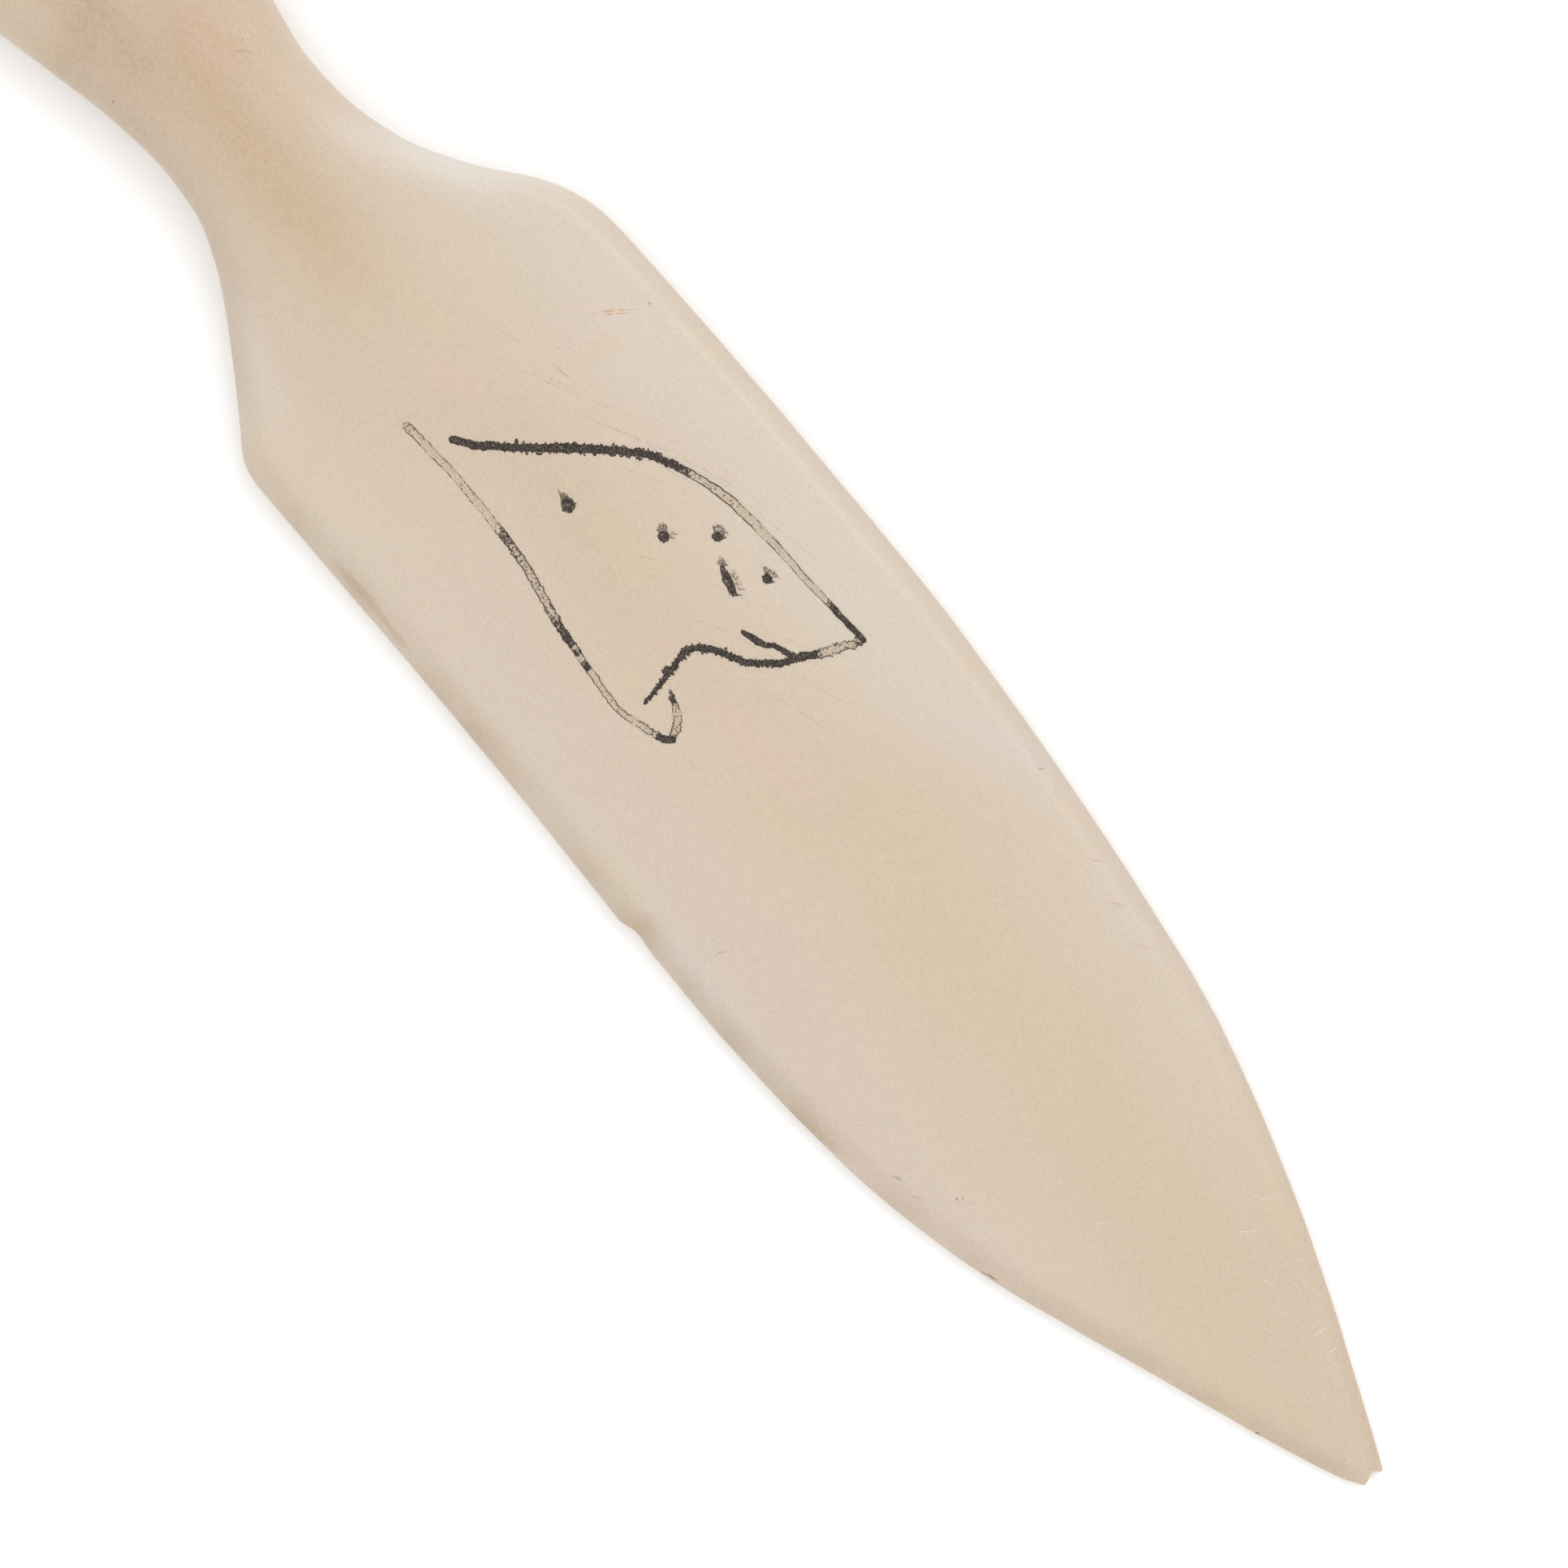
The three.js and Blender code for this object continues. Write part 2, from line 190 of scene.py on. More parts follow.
# The engraving: a small animal's head, cut with a hand graver. Each stroke is a smooth line through
# a few points. fills says which of the frame's pigment solids lies along it, from and to which share
# of its length. The rest are curves along it: wear is 0 where the pigment is still black and 1 where
# it has faded, and left and right are how dark the line is that stays along each edge.
STROKES = {
    "back": {
        "points": [
            (86.15, -3.05), (84.8, -2.0), (83.4, -0.5), (80.5, 2.95), (78.1, 5.5), (75.8, 6.85),
            (72.7, 7.9), (69.2, 8.35), (65.0, 8.6), (61.8, 8.85), (60.35, 9.0),
        ],
        "fills": [("ink_back", 0, 0.495), ("ink_back_worn", 0.495, 0.895), ("ink_snout", 0.895, 1)],
        "wear": [
            (0, 0), (0.46, 0), (0.49, 0.25), (0.51, 0.7), (0.6, 0.8), (0.87, 1.0), (0.91, 0.1), (1, 0),
        ],
        "width": [
            (0, 0.46), (0.12, 0.46), (0.25, 0.54), (0.42, 0.42), (0.6, 0.56), (0.8, 0.44), (1, 0.32),
        ],
        "burrs": [
            (0, 0.2), (0.08, 0.5), (0.14, 1.0), (0.36, 1.0), (0.45, 0.5), (0.52, 0.15), (0.88, 0.1),
            (1, 0.4),
        ],
        "left": [(0.45, 1.0), (0.58, 0.75), (0.65, 0.3), (0.72, 0.65), (0.85, 0.4), (1, 1)],
        "right": [(0.45, 1.0), (0.7, 1.0), (0.75, 0.3), (0.88, 0.5), (1, 1)],
    },
    "belly": {
        "points": [
            (88.6, -4.65), (84.55, -4.25), (80.8, -4.2), (77.4, -4.35), (74.75, -4.75), (72.1, -5.15),
            (68.0, -5.45), (66.3, -5.4), (64.2, -4.7), (63.5, -4.35), (63.3, -3.9), (64.05, -2.9),
            (65.65, -2.25),
        ],
        "fills": [
            ("ink_belly_rear_worn", 0, 0.31), ("ink_belly", 0.31, 0.585),
            ("ink_belly_front_worn", 0.585, 0.847), ("ink_flipper", 0.847, 1),
        ],
        "wear": [
            (0, 0.75), (0.05, 0.9), (0.28, 0.95), (0.32, 0.4), (0.38, 0.6), (0.45, 0.7), (0.52, 0.6),
            (0.54, 0.35), (0.578, 0.1), (0.59, 0.15), (0.6, 0.6), (0.612, 0.15), (0.622, 0.7), (0.636, 0.5),
            (0.643, 0.05), (0.651, 0.1), (0.66, 0.85), (0.8, 0.8), (0.855, 0.6), (0.863, 0), (0.89, 0),
            (0.905, 0.7), (0.96, 0.75), (0.975, 0.1), (1, 0.1),
        ],
        "width": [
            (0, 0.46), (0.3, 0.5), (0.45, 0.5), (0.58, 0.46), (0.72, 0.4), (0.86, 0.4), (0.93, 0.48),
            (1, 0.16),
        ],
        "burrs": [(0, 0.3), (0.1, 0.15), (0.3, 0.3), (0.58, 0.4), (0.66, 0.2), (0.86, 0.6), (1, 0.6)],
        "left": [
            (0, 0.9), (0.1, 0.7), (0.2, 0.35), (0.28, 0.8), (0.58, 0.8), (0.64, 0.3), (0.72, 0.8), (1, 0.9),
        ],
        "right": [
            (0, 0.8), (0.1, 1.0), (0.2, 0.6), (0.28, 0.9), (0.58, 0.9), (0.62, 0.4), (0.7, 0.8), (1, 0.8),
        ],
    },
    "chest": {
        "points": [
            (65.95, -4.05), (66.2, -2.7), (66.75, -0.6), (66.8, 0.25), (66.25, 1.0), (65.55, 1.6),
            (64.0, 2.45), (62.7, 4.05), (62.05, 5.5), (61.6, 6.2), (60.75, 8.2), (60.45, 8.9),
        ],
        "fills": [("ink_chest", 0, 0.82), ("ink_muzzle_worn", 0.82, 1)],
        "wear": [(0, 0), (0.805, 0), (0.83, 0.7), (0.9, 0.75), (0.97, 0.5), (1, 0.2)],
        "width": [
            (0, 0.18), (0.1, 0.3), (0.28, 0.37), (0.4, 0.44), (0.5, 0.36), (0.62, 0.42), (0.72, 0.44),
            (0.78, 0.48), (0.85, 0.52), (0.95, 0.44), (1, 0.3),
        ],
        "burrs": [(0, 0.3), (0.07, 1.0), (0.3, 1.1), (0.5, 0.9), (0.8, 0.7), (0.85, 1.0), (1, 0.9)],
        "left": [(0, 1.0), (1, 1.0)],
        "right": [(0, 1.0), (0.82, 0.8), (1, 0.7)],
    },
    "lip": {
        "points": [(65.7, 3.45), (64.8, 3.75), (64.15, 4.05), (63.7, 4.45), (63.05, 4.75), (62.45, 4.85)],
        "fills": [("ink_lip", 0, 1)],
        "wear": [(0, 0), (1, 0)],
        "width": [(0, 0.2), (0.16, 0.36), (0.3, 0.44), (0.42, 0.36), (0.5, 0.26), (0.7, 0.32), (1, 0.42)],
        "burrs": [(0, 0.1), (0.25, 0.3), (1, 0.5)],
        "left": [(0, 1.0), (1, 1.0)],
        "right": [(0, 1.0), (1, 1.0)],
    },
}
# The pricked marks: place, half length, half width and turn in degrees of the black core. haze is
# the thin pigment beside it, as (offset, size, turn, strength), and scratches are the short strokes
# in and round the haze, as (from, to, half width, strength). Offsets are from the mark's place.
PITS = [
    {
        "node": "ink_eye", "place": (68.57, 4.76), "size": (1.0, 0.25), "turn": -15,
        "haze": [((-1.13, 0.42), (0.38, 0.3), -30, 0.72), ((0.3, 0.42), (0.84, 0.3), -16, 0.52)],
        "scratches": [
            ((-0.95, 0.2), (-0.8, 0.62), 0.06, 0.9), ((-1.05, 0.3), (-1.55, 0.62), 0.045, 0.8),
            ((-1.0, 0.35), (-1.3, 0.9), 0.03, 0.5), ((-0.9, 0.5), (-1.2, 0.6), 0.07, 0.8),
            ((-0.35, 0.68), (0.75, 0.52), 0.03, 0.6), ((0.95, -0.15), (1.2, 0.1), 0.06, 0.9),
            ((0.98, 0.42), (1.04, 0.5), 0.06, 0.7),
        ],
    },
    {
        "node": "ink_spot_neck", "place": (78.38, 0.02), "size": (0.44, 0.4), "turn": -8,
        "haze": [((-0.45, 0.1), (0.45, 0.32), -8, 0.8), ((0.0, 0.3), (0.5, 0.24), 0, 0.45)],
        "scratches": [
            ((-0.2, 0.05), (-0.9, 0.08), 0.16, 1.0), ((-0.5, 0.14), (-1.15, 0.12), 0.05, 0.95),
            ((-0.2, 0.25), (-0.6, 0.42), 0.06, 0.8), ((0.1, 0.3), (-0.2, 0.5), 0.06, 0.7),
        ],
    },
    {
        "node": "ink_spot_cheek", "place": (73.2, 3.4), "size": (0.34, 0.31), "turn": 15,
        "haze": [((-0.4, 0.22), (0.46, 0.36), -30, 0.62), ((0.24, 0.46), (0.34, 0.32), 20, 0.5)],
        "scratches": [
            ((-0.25, 0.0), (-0.58, -0.04), 0.08, 1.0), ((-0.3, 0.12), (-0.82, 0.3), 0.05, 0.9),
            ((-0.2, 0.25), (-0.7, 0.5), 0.07, 0.95), ((-0.05, 0.3), (-0.4, 0.58), 0.06, 0.8),
            ((0.3, 0.62), (0.4, 0.72), 0.06, 0.8), ((0.1, 0.4), (0.5, 0.5), 0.035, 0.6),
        ],
    },
    {
        "node": "ink_spot_brow", "place": (71.12, 5.95), "size": (0.32, 0.26), "turn": 20,
        "haze": [((-0.16, 0.4), (0.54, 0.38), 10, 0.6)],
        "scratches": [
            ((-0.2, 0.05), (-0.62, 0.2), 0.08, 0.95), ((-0.3, 0.1), (-0.82, 0.24), 0.04, 0.8),
            ((0.26, 0.24), (0.36, 0.42), 0.11, 1.0), ((-0.1, 0.3), (-0.56, 0.52), 0.035, 0.7),
            ((0.2, 0.66), (0.34, 0.56), 0.05, 0.7),
        ],
    },
    {
        "node": "ink_spot_nose", "place": (67.17, 6.72), "size": (0.31, 0.27), "turn": 10,
        "haze": [((-0.2, 0.4), (0.66, 0.26), 18, 0.62)],
        "scratches": [
            ((-0.25, 0.1), (-0.56, 0.26), 0.08, 0.95), ((-0.5, 0.22), (-1.0, 0.34), 0.035, 0.6),
            ((0.32, 0.1), (0.42, 0.22), 0.1, 1.0), ((-0.4, 0.36), (0.46, 0.64), 0.055, 0.8),
            ((-0.1, 0.3), (0.1, 0.6), 0.04, 0.7),
        ],
    },
]
GROOVE_DEPTH = 0.26
GROOVE_LIP = 0.01
PIT_DEPTH = 0.28
INK_PROUD = 0.005
INK_SAG = {"black": 0.03, "faded": 0.08}
INK_UNDERSIDE = 0.18
STROKE_STEP = 0.03
STROKE_CELL = 0.09
PIT_CELL = 0.05
PIT_MARGIN = 0.9
REFINE_PASSES = 6
REFINE_GROWTH = 0.5
STROKE_MARGIN = 0.25
STROKE_END = 0.15
GROOVE_WALL = 0.14
# The part of the top face that holds the engraving, in the frame's x and y, and the lowest its points lie.
ENGRAVED_X = (-10, 24)
ENGRAVED_Y = 12
ENGRAVED_LOWEST = 2.2


def near_engraving(x, y, z):
    return (ENGRAVED_X[0] < x) & (x < ENGRAVED_X[1]) & (np.abs(y) < ENGRAVED_Y) & (z > ENGRAVED_LOWEST)


def hand_line(points, seed):
    """A smooth line through points, stepped evenly, with the slight shake of a hand."""
    ends = [points[0], *points, points[-1]]
    fine = []
    for p0, p1, p2, p3 in zip(ends, ends[1:], ends[2:], ends[3:]):
        p0, p1, p2, p3 = (np.array(p) for p in (p0, p1, p2, p3))
        for t in np.linspace(0, 1, 200, endpoint=False):
            start, end = (p2 - p0) / 2, (p3 - p1) / 2
            a = 2 * p1 - 2 * p2 + start + end
            b = -3 * p1 + 3 * p2 - 2 * start - end
            fine.append(a * t**3 + b * t**2 + start * t + p1)
    fine = np.array(fine) * (-1, 1) + (TIP_X, 0)
    lengths = np.concatenate([[0], np.cumsum(np.linalg.norm(np.diff(fine, axis=0), axis=1))])
    along = np.linspace(0, lengths[-1], max(8, round(lengths[-1] / STROKE_STEP)))
    line = np.stack([np.interp(along, lengths, fine[:, k]) for k in (0, 1)], axis=1)
    side = across(line)
    shake = 0.04 * ripple(along * 0.7, seed, 0.0) + 0.02 * ripple(along * 2.5, seed, 5.0)
    return line + side * shake[:, None], along


def across(line):
    """Unit vectors to the left of a line's direction of travel."""
    tangent = np.gradient(line, axis=0)
    tangent /= np.linalg.norm(tangent, axis=1)[:, None]
    return np.stack([-tangent[:, 1], tangent[:, 0]], axis=1)


def half_widths(stroke, along, seed):
    """The pigment's half width on each side of a stroke: even, and then ragged where it has burrs."""
    share = along / along[-1]
    plain = smooth_curve(stroke["width"])(share) / 2
    ends = np.minimum(along, along[-1] - along)
    near_end = np.clip(ends / STROKE_END, 0, 1)
    plain = plain * (0.5 + 0.5 * np.sqrt(near_end))
    burrs = smooth_curve(stroke["burrs"])(share) * near_end
    sides = []
    for turn in (1, -1):
        lumps = 1 + 0.25 * ripple(along * 1.7, seed, turn * 3.0)
        ragged = 0.03 + 0.1 * ripple(along * 4.0, seed, turn * 11.0)
        ragged += 0.2 * ripple(along * 9.5, seed, turn * 17.0)
        spikes = np.clip(ripple(along * 3.1, seed, turn * 23.0) - 0.28, 0, 1)
        sides.append(np.maximum(plain * lumps + burrs * (ragged + 0.6 * spikes), 0.05))
    return plain, sides[0], sides[1]


def edging(stroke, way, share, along, seed):
    """How dark the line along one edge of a stroke is. It is broken here and there."""
    breaks = ripple(along * 0.9, seed, 31.0) + 0.6 * ripple(along * 2.6, seed, 41.0 + len(way))
    return np.clip(smooth_curve(stroke[way])(share) * (1.0 + 2.2 * breaks), 0, 1.3)


def trace(name):
    stroke = STROKES[name]
    seed = 10.0 * list(STROKES).index(name)
    line, along = hand_line(stroke["points"], seed)
    plain, left, right = half_widths(stroke, along, seed)
    share = along / along[-1]
    return {
        "line": line, "along": along, "share": share, "side": across(line), "plain": plain,
        "left": left, "right": right, "wear": smooth_curve(stroke["wear"])(share),
        "burrs": smooth_curve(stroke["burrs"])(share),
        "edging": [edging(stroke, way, share, along, seed) for way in ("left", "right")],
    }


traces = {name: trace(name) for name in STROKES}


def ellipse_share(points, at, size, turn=0.0):
    """How far points lie from the middle of a turned ellipse, as a share of its size."""
    cos, sin = math.cos(math.radians(turn)), math.sin(math.radians(turn))
    x, y = points[:, 0] - (TIP_X - at[0]), points[:, 1] - at[1]
    along = (x * cos + y * sin) / size[0]
    side = (y * cos - x * sin) / size[1]
    return np.hypot(along, side)


def pit_share(pit, points):
    return ellipse_share(points, pit["place"], pit["size"], pit["turn"])


def pit_stain(pit, points):
    """The thin pigment beside a pricked mark, and the short strokes in it."""
    from_tip, y = pit["place"]
    centre = np.array([TIP_X - from_tip, y])
    stain = np.zeros(len(points))
    for offset, size, turn, strength in pit["haze"]:
        at = (from_tip - offset[0], y + offset[1])
        share = ellipse_share(points, at, size, turn)
        share = share + 0.3 * ripple(points[:, 0] * 4, points[:, 1] * 4, from_tip)
        stain = np.maximum(stain, strength * np.clip((1.1 - share) / 0.4, 0, 1))
    for start, end, half_width, strength in pit["scratches"]:
        start, end = centre + start, centre + end
        reach = end - start
        along = np.clip((points - start) @ reach / (reach @ reach), 0, 1)
        off = points - start - along[:, None] * reach
        taper = half_width * (1.15 - 0.6 * along)
        inside = (taper - np.hypot(off[:, 0], off[:, 1])) / 0.05
        stain = np.maximum(stain, strength * np.clip(0.5 + inside, 0, 1))
    return stain


def stroke_distances(points):
    """For each point, its distance from the nearest stroke, and that stroke's figures there."""
    keys = ("line", "plain", "wear", "burrs")
    line, plain, wear, burrs = (np.concatenate([t[key] for t in traces.values()]) for key in keys)
    tree = KDTree(len(line))
    for k, (x, y) in enumerate(line):
        tree.insert((x, y, 0), k)
    tree.balance()
    found = [tree.find((x, y, 0)) for x, y in points]
    nearest = np.array([k for _, k, _ in found], int)
    distance = np.array([d for _, _, d in found])
    return distance, plain[nearest], wear[nearest], burrs[nearest]


def engraving_depth(points):
    """How deep the engraving is cut at each point of the top face."""
    distance, plain, _, _ = stroke_distances(points)
    lip = plain + GROOVE_LIP
    depth = GROOVE_DEPTH * smoothstep(lip - distance, 0, GROOVE_WALL) * np.clip(plain / 0.12, 0, 1)
    for pit in PITS:
        share = pit_share(pit, points)
        depth = np.maximum(depth, PIT_DEPTH * np.clip(1 - (share / 1.15) ** 2, 0, 1))
    return depth


def pigment_stain(points):
    """How much loose pigment has settled on the bone: dust by the burrs, and by the marks."""
    distance, plain, wear, burrs = stroke_distances(points)
    reach = distance - plain
    dust = 0.34 * np.exp(-np.clip(reach, 0, 9) / 0.08) * (0.35 + 0.65 * burrs) * (1 - 0.5 * wear)
    grain = 0.5 + 0.5 * ripple(points[:, 0] * 7, points[:, 1] * 7, 2.0)
    stain = dust * (0.3 + 1.2 * grain)
    for pit in PITS:
        stain = np.maximum(stain, pit_stain(pit, points))
    return np.clip(stain, 0, 1)


# Colours are given as they look under the studio light, from 0 to 255.
LIGHT_GAIN = 0.8


def shown(r, g, b):
    """The surface colour that looks like this 0-255 colour under the studio light."""
    linear = [((c / 255 + 0.055) / 1.055) ** 2.4 * LIGHT_GAIN for c in (r, g, b)]
    return (*linear, 1.0)


# Soft tones of the bone and painted sheens: colour, place, half length and half width, turn, strength.
BONE_BASE = (220, 205, 188)
TONE_DRIFT = (6.0, 3.0)
TONE_FALLOFF = 2.1
BONE_TONES_AND_SHEENS = [
    ((217, 198, 171), (34, 1.0), (62, 10.5), 0, 1.0),
    ((214, 193, 169), (80, -2.2), (34, 8.0), 4, 0.85),
    ((213, 195, 171), (2, 1.0), (34, 12), 0, 0.8),
    ((218, 201, 186), (45, -9.5), (52, 4.5), -3, 0.9),
    ((225, 212, 199), (74, 12.5), (42, 5.0), 0, 0.9),
    ((222, 208, 197), (47, 11.0), (22, 3.0), 3, 0.7),
    ((210, 183, 150), (107, -0.4), (12.5, 2.7), 0, 0.95),
    ((200, 170, 138), (122, 0.0), (24, 9.5), 0, 1.0),
    ((200, 169, 138), (145, 0.0), (34, 13), 0, 0.95),
    # Painted highlights: whitish sheens on the shoulder fillets, two above and one below.
    ((230, 223, 217), (96.4, 9.9), (6.5, 2.6), 34, 0.9),
    ((234, 228, 222), (99.8, 6.9), (7.5, 2.1), 27, 0.9),
    ((222, 208, 195), (99.5, -8.2), (7.5, 2.4), -32, 0.8),
    ((205, 187, 170), (110, -5.6), (10, 1.8), 2, 0.8),
    ((222, 208, 194), (109.5, 6.2), (8, 1.1), 0, 0.6),
    ((206, 182, 150), (110.5, 3.0), (6.5, 1.7), 0, 0.55),
    ((222, 197, 180), (88.5, -1.0), (5, 2.6), 0, 0.6),
    ((221, 196, 181), (60, -0.5), (5.5, 2.4), 0, 0.6),
    ((221, 197, 181), (67, -0.6), (3.5, 2.0), 0, 0.5),
    # Painted sheens: pale bluish-white bands along the upper and lower bevels.
    ((216, 214, 212), (49.5, 11.8), (7, 1.2), 2, 0.45),
    ((222, 217, 212), (48, -11.5), (9, 1.2), -3, 0.7),
    ((220, 200, 166), (62, -3.0), (9, 2.0), 12, 0.4),
    ((219, 199, 164), (30, 2.6), (14, 3.4), 4, 0.4),
    ((223, 199, 160), (85.2, 9.9), (1.6, 0.5), 60, 0.6),
]
# Darker blotches on the waist and grip, as where hands have held it.
GRIP_TONES = [
    ((196, 166, 138), (116.5, -3.4), (7, 2.2), -8, 0.6),
    ((190, 160, 130), (121, -5.4), (7, 2.0), -14, 0.65),
    ((200, 170, 140), (117.5, 1.4), (5, 1.6), 6, 0.4),
    ((210, 176, 146), (114.5, 1.2), (6, 1.6), 10, 0.7),
    ((195, 164, 134), (128, 3.5), (12, 3.0), 6, 0.6),
    ((213, 190, 172), (121, -0.8), (6, 2.0), 0, 0.5),
    ((193, 160, 130), (146, -3.0), (14, 4.0), -5, 0.6),
    ((214, 192, 168), (138, 1.0), (10, 3.0), 3, 0.5),
]


def bone_tones_and_sheens(points):
    """The bone's broad colour at each point, and the painted sheens: soft patches that drift and fade into
    each other.
    """
    x, y = points[:, 0], points[:, 1]
    x = x + TONE_DRIFT[0] * ripple(x * 0.08, y * 0.11, 4.0)
    y = y + TONE_DRIFT[1] * ripple(x * 0.08, y * 0.11, 14.0)
    colour = np.tile(shown(*BONE_BASE), (len(points), 1))
    for tone, at, size, turn, strength in BONE_TONES_AND_SHEENS + GRIP_TONES:
        share = ellipse_share(np.stack([x, y], axis=1), at, size, turn)
        mask = (strength * np.exp(-TONE_FALLOFF * share**2))[:, None]
        colour = colour * (1 - mask) + np.array(shown(*tone)) * mask
    return colour


# The bone's mesh: rings of points round the section, one ring to a station.
HALF_COUNT = 26
BUTT_STATIONS = 26


def stations():
    """Distances from the tip of the rings of points: close at the tip, the shoulders and the butt."""
    stretches = [
        (0, 1, 9), (1, 4, 9), (4, 53, 62), (53, 60, 24), (60, 91, 62), (91, 105, 32), (105, 153, 52),
    ]
    rows = [np.linspace(start, end, count, endpoint=False) for start, end, count in stretches]
    turn = np.linspace(0, math.pi / 2, BUTT_STATIONS + 1)
    rows.append(LENGTH - BUTT_ROUNDING * (1 - np.sin(turn)))
    return np.concatenate(rows)


def body_points():
    """The grids of points of the top and of the back, each station by share across, in mm."""
    edge_dense = 1 - (np.arange(HALF_COUNT + 1) / HALF_COUNT) ** 2
    shares = np.concatenate([edge_dense, -edge_dense[-2::-1]])
    from_tip, share = np.meshgrid(stations(), shares, indexing="ij")
    middle, half = span(from_tip)
    y = middle + half * share
    x = TIP_X - from_tip - tip_front(y) * np.clip(1 - from_tip / TIP_REACH, 0, 1) ** 2
    lift = butt_lift(from_tip)
    top = np.stack([x, y, top_height(from_tip, share) + lift], axis=-1)
    back = np.stack([x, y, back_height(from_tip, share) + lift], axis=-1)
    return top, back


def body_mesh():
    """A closed mesh of the bone, uncut. The two faces share their points along both edges."""
    top, back = body_points()
    rows, columns = top.shape[:2]
    bm = bmesh.new()
    top_verts = [[bm.verts.new(p) for p in row] for row in top]
    back_verts = []
    for row, above in zip(back, top_verts):
        back_verts.append([above[0], *[bm.verts.new(p) for p in row[1:-1]], above[-1]])
    for i in range(rows - 1):
        for j in range(columns - 1):
            a, b = top_verts[i], top_verts[i + 1]
            bm.faces.new((a[j], a[j + 1], b[j + 1], b[j]))
            a, b = back_verts[i], back_verts[i + 1]
            bm.faces.new((a[j], b[j], b[j + 1], a[j + 1]))
    for i, turned in ((0, False), (rows - 1, True)):
        for j in range(columns - 1):
            corners = [top_verts[i][j], back_verts[i][j], back_verts[i][j + 1], top_verts[i][j + 1]]
            corners = list(dict.fromkeys(corners))
            bm.faces.new(corners[::-1] if turned else corners)
    return bm


def refine_near_engraving(bm):
    """Splits the top's edges near the engraving until its cells are fine enough to be cut."""
    for _ in range(REFINE_PASSES):
        edges = [e for e in bm.edges if e.calc_length() > PIT_CELL]
        middles = np.array([(e.verts[0].co + e.verts[1].co) / 2 for e in edges])
        lengths = np.array([e.calc_length() for e in edges])
        near = np.flatnonzero(near_engraving(*middles.T))
        points = middles[near, :2]
        distance, plain, _, _ = stroke_distances(points)
        limit = STROKE_CELL + REFINE_GROWTH * np.clip(distance - plain - STROKE_MARGIN, 0, None)
        for pit in PITS:
            beyond = np.hypot(points[:, 0] - TIP_X + pit["place"][0], points[:, 1] - pit["place"][1])
            beyond -= pit["size"][0] + PIT_MARGIN
            limit = np.minimum(limit, PIT_CELL + REFINE_GROWTH * np.clip(beyond, 0, None))
        chosen = [edges[near[k]] for k in np.flatnonzero(lengths[near] > limit)]
        if not chosen:
            break
        bmesh.ops.subdivide_edges(bm, edges=chosen, cuts=1, use_grid_fill=True)


def cut_engraving(bm):
    """Sets the top's points back on the face near the engraving, and then cuts it into them."""
    verts = [v for v in bm.verts if near_engraving(*v.co)]
    points = np.array([v.co[:2] for v in verts])
    heights = face_height(TIP_X - points[:, 0], points[:, 1]) - engraving_depth(points)
    for v, z in zip(verts, heights):
        v.co.z = z


def new_object(name, bm, material):
    """A smooth-shaded object in metres, from a mesh in millimetres."""
    mesh = bpy.data.meshes.new(name)
    for v in bm.verts:
        v.co *= MM
    for f in bm.faces:
        f.smooth = True
    bm.to_mesh(mesh)
    bm.free()
    mesh.materials.append(material)
    obj = bpy.data.objects.new(name, mesh)
    bpy.context.scene.collection.objects.link(obj)
    return obj


def set_attribute(obj, name, values):
    attribute = obj.data.attributes.new(name, "FLOAT", "POINT")
    attribute.data.foreach_set("value", np.asarray(values, np.float32))


def set_colours(obj, name, colours):
    attribute = obj.data.attributes.new(name, "FLOAT_COLOR", "POINT")
    attribute.data.foreach_set("color", np.asarray(colours, np.float32).ravel())


def mesh_points(obj):
    co = np.zeros(len(obj.data.vertices) * 3, np.float32)
    obj.data.vertices.foreach_get("co", co)
    return co.reshape(-1, 3) / MM


def bone_body(material):
    bm = body_mesh()
    refine_near_engraving(bm)
    cut_engraving(bm)
    bmesh.ops.recalc_face_normals(bm, faces=bm.faces)
    body = new_object("carved_bone", bm, material)
    co = mesh_points(body)
    stain = np.zeros(len(co))
    near = np.flatnonzero(near_engraving(*co.T))
    stain[near] = pigment_stain(co[near, :2])
    set_attribute(body, "stain", stain)
    from_tip = TIP_X - co[:, 0]
    middle, half = span(from_tip)
    share = (co[:, 1] - middle) / np.maximum(half, 0.01)
    inward = (1 - np.abs(share)) * half
    # Painted shade along the bevels: darker bands inside the lower and upper edges, weaker towards the
    # shoulders.
    along_bevel_shade = 0.7 + 0.3 * smoothstep(from_tip, 24, 44) - 0.4 * smoothstep(from_tip, 86, 96)
    along_bevel_shade *= 0.8 + 0.8 * ripple(from_tip * 0.4, 5.0, 1.0)
    set_attribute(body, "lower_bevel_shade", np.where(share < 0, 1 - smoothstep(inward, 0.2, 1.9), 0) * along_bevel_shade)
    upper_bevel_shade = np.where(share > 0, 1 - smoothstep(inward, 0.0, 1.5), 0)
    set_attribute(body, "upper_bevel_shade", upper_bevel_shade * (1 - 0.7 * smoothstep(from_tip, 88, 96)))
    set_attribute(body, "under", 1 - smoothstep(co[:, 2], 0.0, 0.5))
    set_attribute(body, "held", smoothstep(from_tip, 104, 122))
    # The tone colours carry the painted sheens on the fillets and bevels as well as the bone's own tones.
    set_colours(body, "tone", bone_tones_and_sheens(co))
    return body


